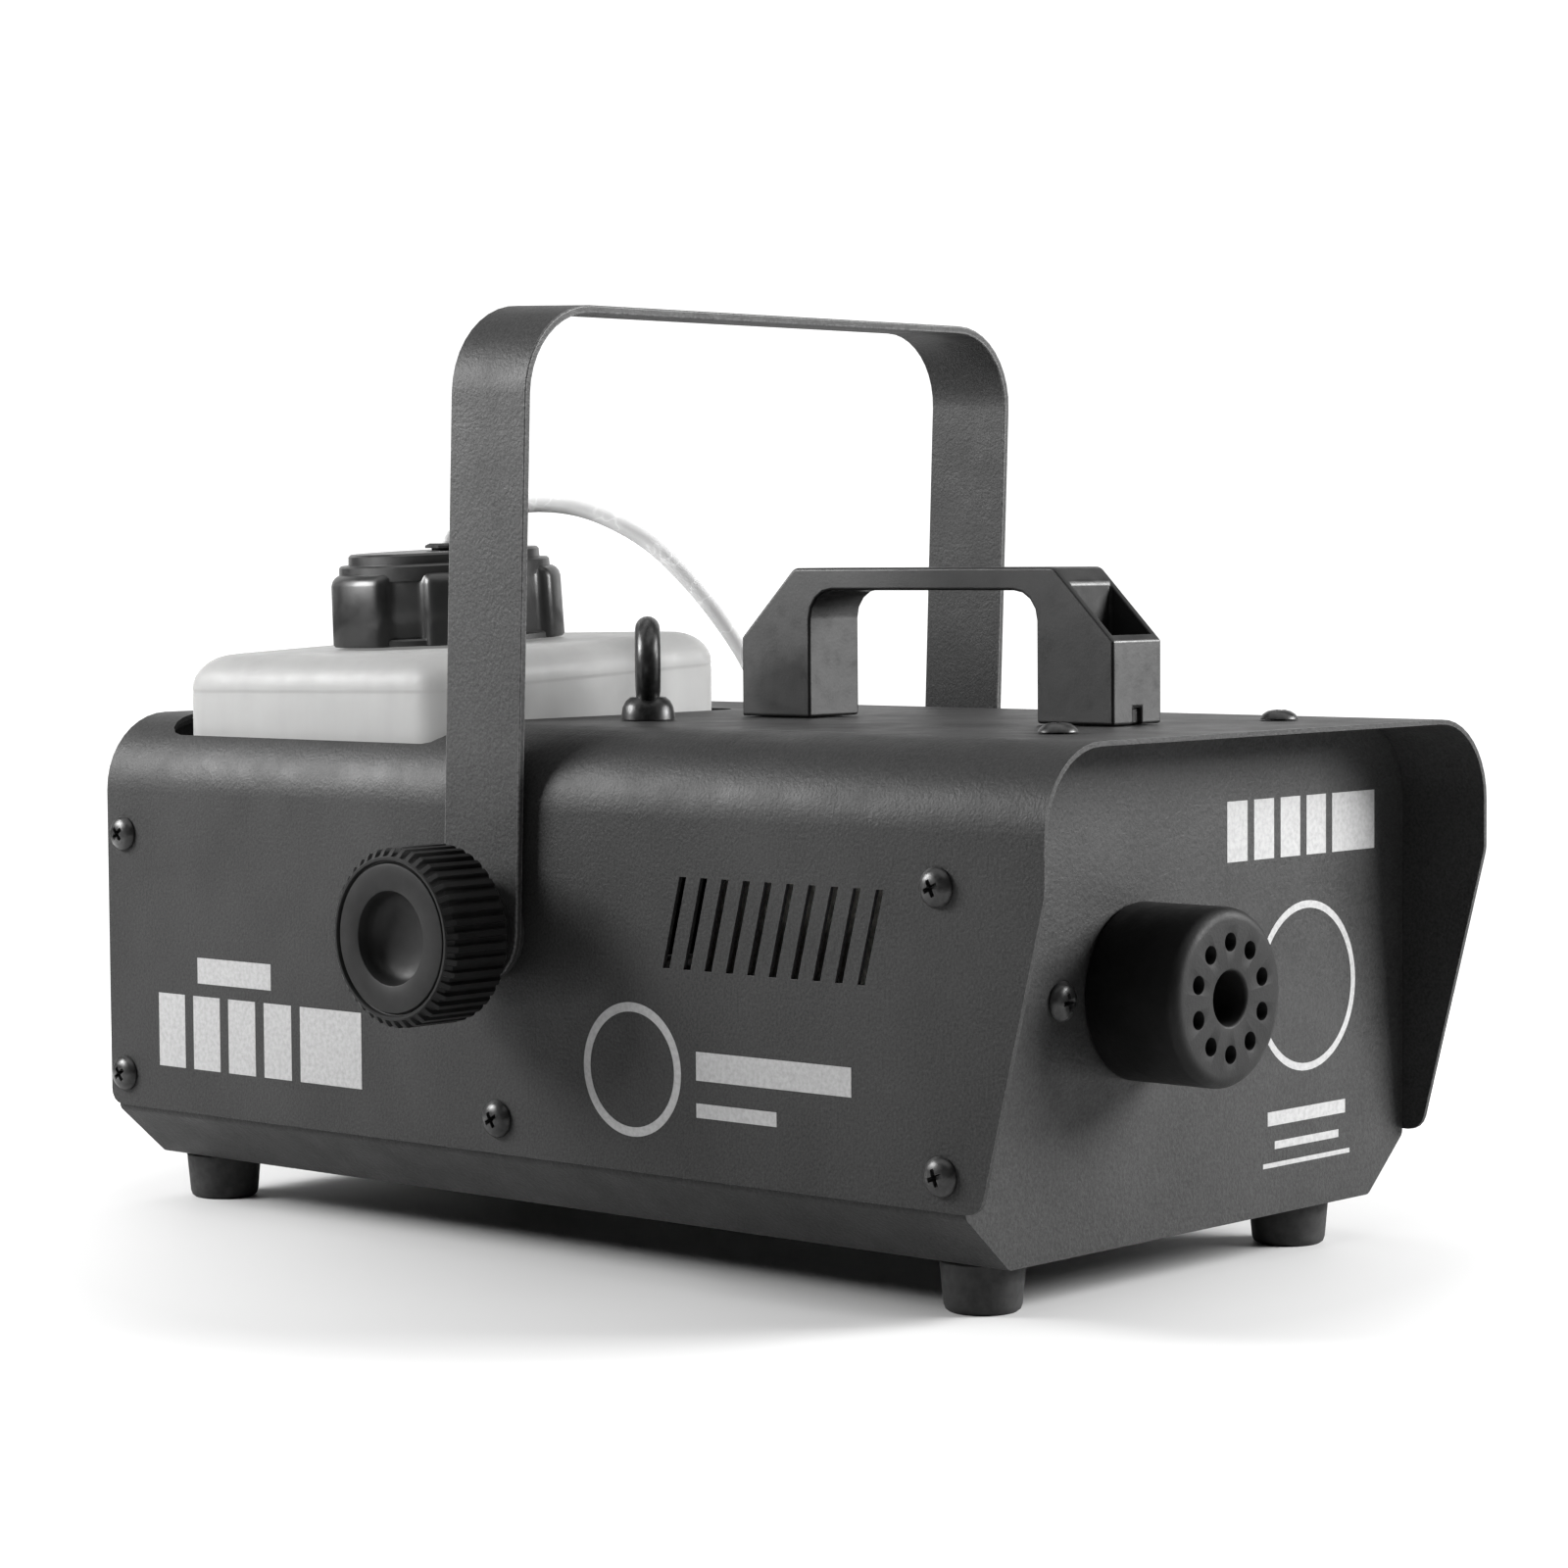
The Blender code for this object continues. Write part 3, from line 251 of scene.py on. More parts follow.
def bright_steel():
    look = Look("zinc_steel_look", metallic=1.0)
    brushed = look.noise(0.0010, 3.0, place=look.stretched(0.15, 1.0, 1.0))
    look.colours(brushed, (0.3, 0.42), (0.7, 0.62))
    look.rough(look.noise(0.003, 3.0), 0.26, 0.44)
    look.bumps((brushed, 0.00003, 0.3))
    return look.material


def cast_aluminium():
    look = Look("cast_aluminium_look", metallic=1.0)
    look.colours(look.noise(0.002, 4.0), (0.3, 0.50), (0.7, 0.68))
    look.rough(look.noise(0.001, 3.0), 0.42, 0.58)
    look.bumps((look.noise(0.0008, 4.0), 0.0002, 0.5))
    return look.material


def ceramic_wool():
    look = Look("ceramic_wool_look", roughness=0.95, Sheen_Weight=0.3)
    fibres = look.noise(0.0012, 6.0, 0.7, look.stretched(1.0, 0.25, 1.0))
    look.colours(fibres, (0.3, (0.62, 0.60, 0.54)), (0.7, (0.84, 0.82, 0.76)))
    look.bumps((fibres, 0.0008, 0.7))
    return look.material


def circuit_board():
    look = Look("circuit_board_look", Specular_IOR_Level=0.5)
    cells = look.cells(0.006)
    look.colours(cells, (0.30, (0.010, 0.075, 0.030)), (0.45, (0.020, 0.130, 0.050)))
    look.rough(look.noise(0.002), 0.30, 0.45)
    look.bumps((cells, 0.0001, 0.3))
    return look.material


def screen_print():
    """Pale screen-printed ink that follows the powder coat's texture and is a little thin in places."""
    look = Look("screen_print_look", Specular_IOR_Level=0.3)
    look.colours(look.noise(0.0012, 4.0), (0.30, 0.25), (0.62, 0.32))
    look.rough(look.noise(0.002), 0.45, 0.6)
    look.bumps((look.noise(0.0014, 3.0), 0.00012, 0.45))
    return look.material


def floor_look():
    """Pale, and a little darker near the object, a painted shade that keeps the floor's bounced light off the
    object's underside; in metres from the floor's middle.
    """
    look = Look("floor_look", roughness=0.6, Specular_IOR_Level=0.2)
    reach = look.add("ShaderNodeVectorMath", operation="LENGTH")
    look.link(look.place, reach.inputs[0])
    clouds = look.maths("MULTIPLY", look.noise(0.4, 2.0), 0.02)
    look.colours(look.maths("ADD", reach.outputs["Value"], clouds), (0.20, 0.56), (0.42, 0.97))
    return look.material


COVER_LOOK = powder_coat("cover_powder_coat_look", 0.017, 0.026)
# A lighter copy of the powder coat for the rounded edges of the cover and the bracket: a painted highlight along
# them
EDGE_HIGHLIGHT_LOOK = powder_coat("edge_painted_highlight_look", 0.06, 0.11, 0.4)
BRACKET_LOOK = powder_coat("bracket_powder_coat_look", 0.024, 0.035)
PLASTIC_LOOK = moulded_plastic("black_plastic_look", 0.007, 0.012, 0.42)
HANDLE_LOOK = moulded_plastic("handle_plastic_look", 0.012, 0.018, 0.40, 0.0008, 0.00004)
# Darker copies of the handle plastic, one for its rounded edges and one for the inside of its pockets: painted
# shade on both
HANDLE_EDGE_SHADE_LOOK = moulded_plastic("handle_edge_painted_shade_look", 0.006, 0.010, 0.40, 0.0008, 0.00004)
POCKET_SHADE_LOOK = moulded_plastic("handle_pocket_painted_shade_look", 0.0015, 0.003, 0.70, 0.0008, 0.00004)
KNOB_LOOK = moulded_plastic("knob_plastic_look", 0.008, 0.013, 0.50, 0.0007, 0.00003, shine=0.16)
CAP_LOOK = moulded_plastic("cap_plastic_look", 0.008, 0.013, 0.40, 0.0010, 0.00001, 0.12)
NOZZLE_LOOK = moulded_plastic("nozzle_plastic_look", 0.004, 0.007, 0.55, 0.0008, 0.00012, shine=0.18)
RUBBER_LOOK = rubber()
SCREW_LOOK = blackened_steel()
TANK_LOOK = milky_plastic()
HOSE_LOOK = clear_hose()
STEEL_LOOK = bright_steel()
ALUMINIUM_LOOK = cast_aluminium()
WOOL_LOOK = ceramic_wool()
BOARD_LOOK = circuit_board()
PRINT_LOOK = screen_print()


# Mesh building

def as_mesh(name, bm):
    """The bmesh's shape as mesh data; the bmesh is freed."""
    mesh = bpy.data.meshes.new(name)
    bm.to_mesh(mesh)
    bm.free()
    return mesh


def closed_mesh(name, bm):
    """The same for a closed shape, with all its faces turned outwards."""
    bmesh.ops.recalc_face_normals(bm, faces=bm.faces)
    return as_mesh(name, bm)


def new_object(name, data):
    obj = bpy.data.objects.new(name, data)
    bpy.context.scene.collection.objects.link(obj)
    return obj


def dressed(name, mesh, look, sharp):
    """An object with one material and smooth faces, creased where they meet at more than sharp degrees."""
    mesh.materials.clear()
    mesh.materials.append(look)
    mesh.shade_smooth()
    mesh.set_sharp_from_angle(angle=math.radians(sharp))
    return new_object(name, mesh)


def add_piece(name, bm, look, body, nodes=(), sharp=35.0):
    """A piece from a closed bmesh in the model's frame, riding on a body in place of any CAD nodes."""
    add_mesh(name, closed_mesh(name, bm), look, body, nodes, sharp)


def add_mesh(name, mesh, look, body, nodes=(), sharp=35.0):
    obj = dressed(name, mesh, look, sharp)
    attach(obj, body)
    if nodes:
        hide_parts(*nodes)


def frozen(obj):
    """obj's mesh with its modifiers applied, as a mesh of its own."""
    graph = bpy.context.evaluated_depsgraph_get()
    return bpy.data.meshes.new_from_object(obj.evaluated_get(graph))


def add_bevel(obj, width, segments, sharp):
    bevel = obj.modifiers.new("edges", "BEVEL")
    bevel.width = width
    bevel.segments = segments
    bevel.limit_method = "ANGLE"
    bevel.angle_limit = math.radians(sharp)
    return bevel


def cut_out(shape, tool, crosses_itself=False, bevel=None):
    """The shape's mesh less the tool's, then any (width, segments, sharp) bevel; both objects are removed."""
    cut = shape.modifiers.new("cut", "BOOLEAN")
    cut.operation = "DIFFERENCE"
    cut.solver = "EXACT"
    cut.use_self = crosses_itself
    cut.object = tool
    if bevel:
        add_bevel(shape, *bevel)
    mesh = frozen(shape)
    for obj in (shape, tool):
        bpy.data.objects.remove(obj)
    return mesh


def bar(x0, y0, x1, y1):
    return [(x0, y0), (x1, y0), (x1, y1), (x0, y1)]


def circle(x, y, radius, steps=64):
    return arc((x, y), radius, 0, 360, steps)[:-1]


def arc(centre, radius, start, end, steps):
    """Points on an arc, angles in degrees from the first axis."""
    points = []
    for k in range(steps + 1):
        angle = math.radians(start + (end - start) * k / steps)
        points.append((centre[0] + radius * math.cos(angle), centre[1] + radius * math.sin(angle)))
    return points


def turned(profile, at, towards, segments=96, loop=False):
    """A bmesh turned from (radius, height) points about an axis through at."""
    bm = bmesh.new()
    place = Matrix.Translation(at) @ TOWARDS[towards]
    rings = []
    for radius, height in profile:
        count = 1 if radius < 1e-6 else segments
        ring = []
        for k in range(count):
            angle = 2 * math.pi * k / segments
            point = Vector((radius * math.cos(angle), radius * math.sin(angle), height))
            ring.append(bm.verts.new(place @ point))
        rings.append(ring)
    join_rings(bm, rings, loop)
    return bm


def join_rings(bm, rings, loop=False):
    """Faces between rings of points; a ring of one point closes to a tip.

    A loop also joins the last ring to the first.
    """
    for first, second in zip(rings, rings[1:] + rings[:1] * loop):
        count = max(len(first), len(second))
        for k in range(count):
            corners = [first[k % len(first)], first[(k + 1) % len(first)],
                       second[(k + 1) % len(second)], second[k % len(second)]]
            corners = list(dict.fromkeys(corners))
            if len(corners) > 2:
                bm.faces.new(corners)


def lofted(sections):
    """A closed bmesh through sections of equal length, capped at both ends."""
    bm = bmesh.new()
    rings = [[bm.verts.new(point) for point in section] for section in sections]
    join_rings(bm, rings)
    bm.faces.new(rings[0])
    bm.faces.new(rings[-1])
    return bm


def tube(path, radius, sides=20):
    """A capped tube with no twist along the path."""
    path = [Vector(p) for p in path]
    sections = []
    side = (path[1] - path[0]).orthogonal().normalized()
    for i, point in enumerate(path):
        along = (path[min(i + 1, len(path) - 1)] - path[max(i - 1, 0)]).normalized()
        side = (side - along * side.dot(along)).normalized()
        other = along.cross(side)
        sections.append([point + (side * math.cos(a) + other * math.sin(a)) * radius
                         for a in (2 * math.pi * k / sides for k in range(sides))])
    return lofted(sections)


def smooth_route(route, spacing):
    """Points about spacing apart on a Catmull-Rom curve through the route."""
    route = [Vector(p) for p in route]
    ends = [route[0] * 2 - route[1], *route, route[-1] * 2 - route[-2]]
    points = []
    for a, b, c, d in zip(ends, ends[1:], ends[2:], ends[3:]):
        steps = max(1, round((c - b).length / spacing))
        for k in range(steps):
            t = k / steps
            points.append(0.5 * (2 * b + (c - a) * t + (2 * a - 5 * b + 4 * c - d) * t ** 2
                                 + (3 * b - a - 3 * c + d) * t ** 3))
    return points + [route[-1]]


def rounded_rectangle(low, high, radius, steps=8):
    """Points round a rectangle with round corners, anticlockwise."""
    (x0, y0), (x1, y1) = low, high
    points = []
    for cx, cy, start in ((x1, y1, 0), (x0, y1, 90), (x0, y0, 180), (x1, y0, 270)):
        centre = (cx + (radius if cx == x0 else -radius), cy + (radius if cy == y0 else -radius))
        points += arc(centre, radius, start, start + 90, steps)
    return points


def softened(node, width, look, edge=None, segments=3, sharp=40.0, inside=None, is_inside=None, clamp=True):
    """The CAD node's shape with its sharp edges rounded, as a piece that stands for it.

    The roundings get the edge look, and the faces that is_inside(middle, normal) picks get the inside look; the
    callers use these looks to paint highlights and shade along edges and shade inside recesses.
    """
    bm = bmesh.new()
    bm.from_mesh(NODES[node].data)
    bmesh.ops.remove_doubles(bm, verts=bm.verts, dist=0.000005)
    bmesh.ops.dissolve_limit(bm, angle_limit=math.radians(0.6), verts=bm.verts, edges=bm.edges)
    bm.normal_update()
    for face in bm.faces:
        face.material_index = 2 if is_inside and is_inside(face.calc_center_median(), face.normal) else 0
    mesh = bpy.data.meshes.new(node)
    # The materials come first, as to_mesh keeps only the material numbers that the mesh has
    for surface in (look, edge or look, inside or look):
        mesh.materials.append(surface)
    bm.to_mesh(mesh)
    bm.free()
    obj = new_object(node + "_rounding", mesh)
    bevel = add_bevel(obj, width, segments, sharp)
    bevel.use_clamp_overlap = clamp
    bevel.material = 1
    rounded = frozen(obj)
    bpy.data.objects.remove(obj)
    rounded.shade_smooth()
    rounded.set_sharp_from_angle(angle=math.radians(30))
    piece = new_object(node + "_finish", rounded)
    flat = piece.modifiers.new("flat_faces", "WEIGHTED_NORMAL")
    flat.keep_sharp = True
    flat.weight = 80
    piece.data = frozen(piece)
    piece.modifiers.clear()
    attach(piece, body_of(node))
    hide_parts(node)


def body_of(node):
    for body, nodes in frame["record"]["behaviour"]["bodies"].items():
        if node in nodes:
            return body
    raise KeyError(node)


def middle(node):
    low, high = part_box(node)
    return (Vector(low) + Vector(high)) / 2


# Sheet metal

def make_sheet_metal():
    # The cover's and the bracket's roundings get the lighter edge coat: a painted highlight along every edge
    softened("top_cover", 0.00035, COVER_LOOK, EDGE_HIGHLIGHT_LOOK)
    softened("base_pan", 0.00035, COVER_LOOK, COVER_LOOK)
    softened("tank_tray", 0.00025, COVER_LOOK)
    softened("hanging_bracket", 0.00045, BRACKET_LOOK, EDGE_HIGHLIGHT_LOOK)


# Screws

HEAD_RISE = 0.5  # the height of a screw's head for its radius
SHANK_R = 0.0016
SCREW_TURN = 2.4  # radians from each screw to the next, so that no two crosses stand alike


def screw_mesh(head_r, length):
    """A domed head with a cross recess, on a plain shank, its seat at the origin and facing +Z."""
    height = head_r * HEAD_RISE
    dome = [(head_r * out, height * up) for out, up in (
        (0, 1), (0.35, 0.97), (0.62, 0.84), (0.84, 0.56), (0.96, 0.26), (1, 0.06), (0.985, 0))]
    shank = [(SHANK_R, 0), (SHANK_R, -length), (0, -length)]
    cross = bmesh.new()
    mouth = (height * 1.3, head_r * 0.56, head_r * 0.13)
    bottom = (height * 0.15, head_r * 0.20, head_r * 0.09)
    for turn in (0, RIGHT_ANGLE):
        matrix = Matrix.Rotation(turn, 4, "Z")
        arm = [[matrix @ Vector((x, y, z)) for x, y in bar(-reach, -half, reach, half)]
               for z, reach, half in (mouth, bottom)]
        cross.from_mesh(closed_mesh("arm", lofted(arm)))
    head = new_object("screw_head", closed_mesh("screw_head", turned(dome + shank, (0, 0, 0), "+Z", 40)))
    return cut_out(head, new_object("cross", as_mesh("cross", cross)), crosses_itself=True)


def make_screws():
    """Each screw stands for its CAD node, turned by its own amount as screws are."""
    facing = {"top": "+Z", "front": "-Y", "foot": "-Z", "handle": "+Z"}
    meshes = {}
    for count, name in enumerate(sorted(n for n in NODES if "_screw_" in n)):
        towards = facing.get(name.split("_")[0], "-X" if name.endswith("left") else "+X")
        low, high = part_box(name)
        centre = (low + high) / 2
        axis = (TOWARDS[towards] @ Vector((0, 0, 1))).to_3d()
        main = max(range(3), key=lambda i: abs(axis[i]))
        width = (high[(main + 1) % 3] - low[(main + 1) % 3]) / 2
        height = width * HEAD_RISE
        length = high[main] - low[main] - height
        tip = high[main] if axis[main] > 0 else low[main]
        seat = centre.copy()
        seat[main] = tip - axis[main] * height
        key = (round(width, 4), round(length, 4))
        if key not in meshes:
            meshes[key] = screw_mesh(width, length)
        mesh = meshes[key].copy()
        turn = Matrix.Rotation(count * SCREW_TURN, 4, "Z")
        mesh.transform(Matrix.Translation(seat) @ TOWARDS[towards] @ turn)
        add_mesh(name + "_head", mesh, SCREW_LOOK, body_of(name), [name], 28.0)


# Hanging bracket's knobs

# Grip from its back to its face, and the ribs round it with the points drawn for each
GRIP_DEPTH = 0.0200
RIBS, RIB_STEPS = 42, 10
FLUTE_DEPTH = 0.0012


def make_knobs():
    """Ribbed grips with a thin raised rim, a flat face and a dished well, as one skin from back to middle."""
    for name, side in SIDES.items():
        low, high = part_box(f"clamp_knob_{name}")
        towards = "+X" if side > 0 else "-X"
        face = high.x if side > 0 else -low.x
        outer = (high.z - low.z) / 2
        sections = knob_sections(outer, face, Matrix.Translation((0, PIVOT.y, PIVOT.z)) @ TOWARDS[towards])
        body = f"{name}_knob"
        grip = bmesh.new()
        rings = [[grip.verts.new(point) for point in section] for section in sections]
        join_rings(grip, rings)
        grip.faces.new(rings[0])
        add_piece(f"knob_grip_{name}", grip, KNOB_LOOK, body, [f"clamp_knob_{name}"], 32.0)
        start = face - GRIP_DEPTH
        neck = [(0, start + 0.001), (0.0150, start + 0.001), (0.0150, start - 0.0004)]
        neck += [(0.0147, start - 0.0010), (0.0147, start - 0.0076), (0.0142, start - 0.0082)]
        neck += [(0, start - 0.0082)]
        add_piece(f"knob_neck_{name}", turned(neck, (0, PIVOT.y, PIVOT.z), towards), KNOB_LOOK, body)


def knob_sections(outer, face, place):
    """Rings of points from the grip's back to the middle of its well, where the last is a single point."""
    # Along the ribs: height, how far the rib's top is let in, and the share of the full flute depth
    ribbed = [(face - GRIP_DEPTH, 0.0016, 0.0), (face - 0.0195, 0.0007, 0.4), (face - 0.0186, 0.0, 1.0),
              (face - 0.0022, 0.0, 1.0), (face - 0.0013, 0.0008, 0.9), (face - 0.0006, 0.0017, 0.5)]
    # Rim, its groove and the flat face: distance in from the outside, depth below the face
    plain = [(0.0020, 0.0003), (0.0023, 0.0), (0.0029, 0.0), (0.0031, 0.0003), (0.0032, 0.0010),
             (0.0035, 0.0011), (0.0037, 0.0008), (0.0039, 0.0004), (0.0043, 0.0003)]
    # Well: radius, depth below the face
    well = [(0.0120, 0.0003), (0.0118, 0.0004), (0.0116, 0.0008), (0.0113, 0.0026), (0.0109, 0.0040),
            (0.0101, 0.0049), (0.0088, 0.0055), (0.0068, 0.0060), (0.0040, 0.0064)]
    count = RIBS * RIB_STEPS
    sections = []
    for z, shrink, depth in ribbed:
        section = []
        for k in range(count):
            across = from_rib(k / RIB_STEPS)
            lift = min(max((0.62 - across) / 0.22, 0.0), 1.0)
            radius = outer - shrink - FLUTE_DEPTH * depth * (1 - lift)
            section.append(on_ring(place, radius, k / count, z))
        sections.append(section)
    for radius, drop in [(outer - inset, drop) for inset, drop in plain] + well:
        sections.append([on_ring(place, radius, k / count, face - drop) for k in range(count)])
    sections.append([place @ Vector((0, 0, face - 0.0065))])
    return sections


def from_rib(ribs):
    """How far a place is from the nearest rib's middle, from 0 there to 1 halfway to the next."""
    return abs((ribs + 0.5) % 1.0 - 0.5) * 2


def on_ring(place, radius, share, z):
    angle = 2 * math.pi * share
    return place @ Vector((radius * math.cos(angle), radius * math.sin(angle), z))


# Tank, cap and hose

# A loose tank leans a little in its bin: the height gained per metre along X and Y
LEAN = Vector((0.0457, -0.0150, 0.0))
RAISED = 0.0006
LEAN_FROM_Z, LEAN_OVER = 0.118, 0.026
TANK_TOP_Z = 0.1540


def leaning(point, about):
    """The point raised or lowered with the tank's top; points low in the bin stay where they are."""
    share = min(max((point.z - LEAN_FROM_Z) / LEAN_OVER, 0.0), 1.0)
    return point + Vector((0, 0, ((point - about).dot(LEAN) + RAISED) * share))


def make_tank():
    """Levels of (height, inset) up the walls, past a faint mould line and over the shoulder."""
    low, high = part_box("tank_bottle")
    at = middle("tank_cap")
    foot_r, shoulder_r, corner_r = 0.0050, 0.0088, 0.0105
    levels = [(low.z, foot_r)]
    levels += [(low.z + foot_r - foot_r * math.cos(a), foot_r - foot_r * math.sin(a)) for a in (0.5, 1.0)]
    levels += [(low.z + foot_r, 0.0), (LEAN_FROM_Z, 0.0), (0.1260, 0.0)]
    mould_line = ((0.0016, 0.0), (0.0012, 0.00008), (0.0006, 0.00008), (0.0002, 0.0))
    shoulder_z = TANK_TOP_Z - shoulder_r
    levels += [(shoulder_z - drop, inset) for drop, inset in mould_line]
    for k in range(9):
        angle = RIGHT_ANGLE * k / 8
        levels.append((shoulder_z + shoulder_r * math.sin(angle), shoulder_r * (1 - math.cos(angle))))
    sections = []
    for z, inset in levels:
        outline = rounded_rectangle((low.x + inset, low.y + inset), (high.x - inset, high.y - inset),
                                    max(corner_r - inset * 0.3, 0.004), 8)
        sections.append([leaning(Vector((x, y, z)), at) for x, y in outline])
    add_piece("tank_bottle_body", lofted(sections), TANK_LOOK, "tank", ["tank_bottle"], 60.0)
    neck = [(0, high.z), (0.0252, high.z), (0.0257, high.z - 0.0005), (0.0257, 0.1500), (0, 0.1500)]
    add_piece("tank_neck", tilted(turned(neck, (at.x, at.y, 0), "+Z"), at), TANK_LOOK, "tank")


def tilted(bm, about):
    """The bmesh leaned with the tank's top, about the middle of the tank's mouth."""
    centre = Vector((about.x, about.y, TANK_TOP_Z))
    turn = Matrix.Rotation(math.atan(LEAN.length), 3, LEAN.cross(Vector((0, 0, 1))))
    bmesh.ops.rotate(bm, cent=centre, matrix=turn, verts=bm.verts)
    bmesh.ops.translate(bm, vec=(0, 0, RAISED), verts=bm.verts)
    return bm


def make_cap():
    """Five broad lobes round a plain drum, with a stepped top."""
    low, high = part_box("tank_cap")
    at = middle("tank_cap")
    outer = (high.x - low.x) / 2 - 0.0001
    drum, bore = 0.0291, 0.0047
    lobes, steps, first_lobe = 5, 48, math.radians(-119.0)
    base, lobe_top = low.z + 0.0002, 0.1743
    sections = []
    for z, shrink in ((base, 0.0005), (base + 0.0006, 0.0), (lobe_top - 0.0030, 0.0003),
                      (lobe_top - 0.0017, 0.0007), (lobe_top - 0.0008, 0.0014), (lobe_top - 0.0002, 0.0023),
                      (lobe_top, 0.0032)):
        section = []
        for k in range(lobes * steps):
            lift = 1.0 / (1.0 + math.exp((from_rib(k / steps) - 0.70) * 34))
            radius = max(drum + (outer - drum) * lift - shrink, drum - 0.0004)
            angle = first_lobe + 2 * math.pi * k / (lobes * steps)
            section.append(Vector((at.x + radius * math.cos(angle), at.y + radius * math.sin(angle), z)))
        sections.append(section)
    for z in (lobe_top, base):
        sections.append([Vector((at.x + bore * (point.x - at.x) / drum, at.y + bore * (point.y - at.y) / drum,
                                 z)) for point in sections[0]])
    bm = bmesh.new()
    join_rings(bm, [[bm.verts.new(point) for point in section] for section in sections], loop=True)
    add_piece("cap_lobes", tilted(bm, at), CAP_LOOK, "cap", ["tank_cap"], 50.0)
    flange = [(0.0250, base + 0.0020), (drum + 0.0008, base + 0.0020), (drum + 0.0013, base + 0.0015),
              (drum + 0.0013, base + 0.0001), (0.0250, base + 0.0001)]
    add_piece("cap_flange", tilted(turned(flange, (at.x, at.y, 0), "+Z", loop=True), at), CAP_LOOK, "cap")
    tiers = [(bore, 0.1796), (0.0256, 0.1796), (0.0262, 0.1790), (0.0263, 0.1768), (0.0284, 0.1766),
             (0.0289, 0.1761), (drum, lobe_top - 0.0020), (bore, lobe_top - 0.0020)]
    add_piece("cap_top", tilted(turned(tiers, (at.x, at.y, 0), "+Z", loop=True), at), CAP_LOOK, "cap")


# The hose, and where it goes through the cap and through the cover
HOSE_R = 0.0027
CAP_AT = Vector((-0.0266, 0.0930))
ENTRY_AT = Vector((0.0139, 0.0102))


def hose_route():
    """The CAD hose's own route: tank, cap, arch, cover, pump."""
    along = (ENTRY_AT - CAP_AT).normalized()
    up = [(*CAP_AT, z) for z in (0.0500, 0.0900, 0.1300, 0.1650, 0.1750, 0.1823)]
    arch = [(*(CAP_AT + along * run), z) for run, z in (
        (0.0042, 0.1873), (0.0130, 0.1911), (0.0266, 0.1931), (0.0418, 0.1908),
        (0.0582, 0.1825), (0.0719, 0.1697), (0.0829, 0.1555), (0.0889, 0.1450))]
    down = [(*ENTRY_AT, z) for z in (0.1380, 0.1320, 0.1260)]
    pump = [(0.0170, 0.0085, 0.1060), (0.0290, 0.0055, 0.0840), (0.0470, 0.0025, 0.0660),
            (0.0610, 0.0015, 0.0520), (0.0600, 0.0015, 0.0400), (0.0500, 0.0015, 0.0360),
            (0.0425, 0.0015, 0.0360)]
    return smooth_route(up + arch + down + pump, 0.003)


def make_hose():
    path = hose_route()
    mesh = closed_mesh("fluid_hose_tube", tube(path, HOSE_R))
    hose = dressed("fluid_hose_tube", mesh, HOSE_LOOK, 50.0)
    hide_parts("fluid_hose")
    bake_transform(hose)


# Nozzle, handle, eyelet, feet

def make_nozzle():
    """A cup with a middle bore and a ring of small jets through its face."""
    jet_count, jet_r, jets_at_r, jet_depth = 10, 0.00225, 0.0133, 0.016
    low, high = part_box("nozzle")
    at = middle("nozzle")
    radius, end = (high.x - low.x) / 2, high.y - low.y
    seat = (at.x, high.y, at.z)
    edge = arc((radius - 0.0030, end - 0.0030), 0.0030, 90, 0, 8)
    bore = arc((0.0073, end - 0.0008), 0.0008, 180, 90, 4)
    cup = [(0.0065, end - 0.0120)] + bore + edge
    cup += [(radius, 0.0006), (radius - 0.0004, 0), (radius - 0.0035, 0), (radius - 0.0035, end - 0.0120)]
    jets = bmesh.new()
    for k in range(jet_count):
        angle = 2 * math.pi * k / jet_count
        across, up = jets_at_r * math.sin(angle), jets_at_r * math.cos(angle)
        place = Matrix.Translation((at.x + across, low.y, at.z + up))
        bmesh.ops.create_cone(jets, cap_ends=True, segments=28, radius1=jet_r, radius2=jet_r, depth=jet_depth,
                              matrix=place @ Matrix.Rotation(RIGHT_ANGLE, 4, "X"))
    whole = new_object("cup", closed_mesh("cup", turned(cup, seat, "-Y", 96, loop=True)))
    mesh = cut_out(whole, new_object("jets", as_mesh("jets", jets)), bevel=(0.00030, 2, 50))
    add_mesh("nozzle_cup", mesh, NOZZLE_LOOK, "body", ["nozzle"])


def make_handle():
    low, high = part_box("carry_handle")
    post, wall = 0.0240, 0.0012

    def in_pocket(at, normal):
        in_a_post = min(at.y - low.y, high.y - at.y)
        return (low.x + wall < at.x < high.x - wall and wall < in_a_post < post - wall
                and low.z + wall < at.z < high.z - wall and max(abs(value) for value in normal) > 0.9)

    # The handle's roundings and the walls inside its pockets get the darker plastic: painted shade
    softened("carry_handle", 0.0008, HANDLE_LOOK, HANDLE_EDGE_SHADE_LOOK, 3, 30.0, POCKET_SHADE_LOOK, in_pocket, False)


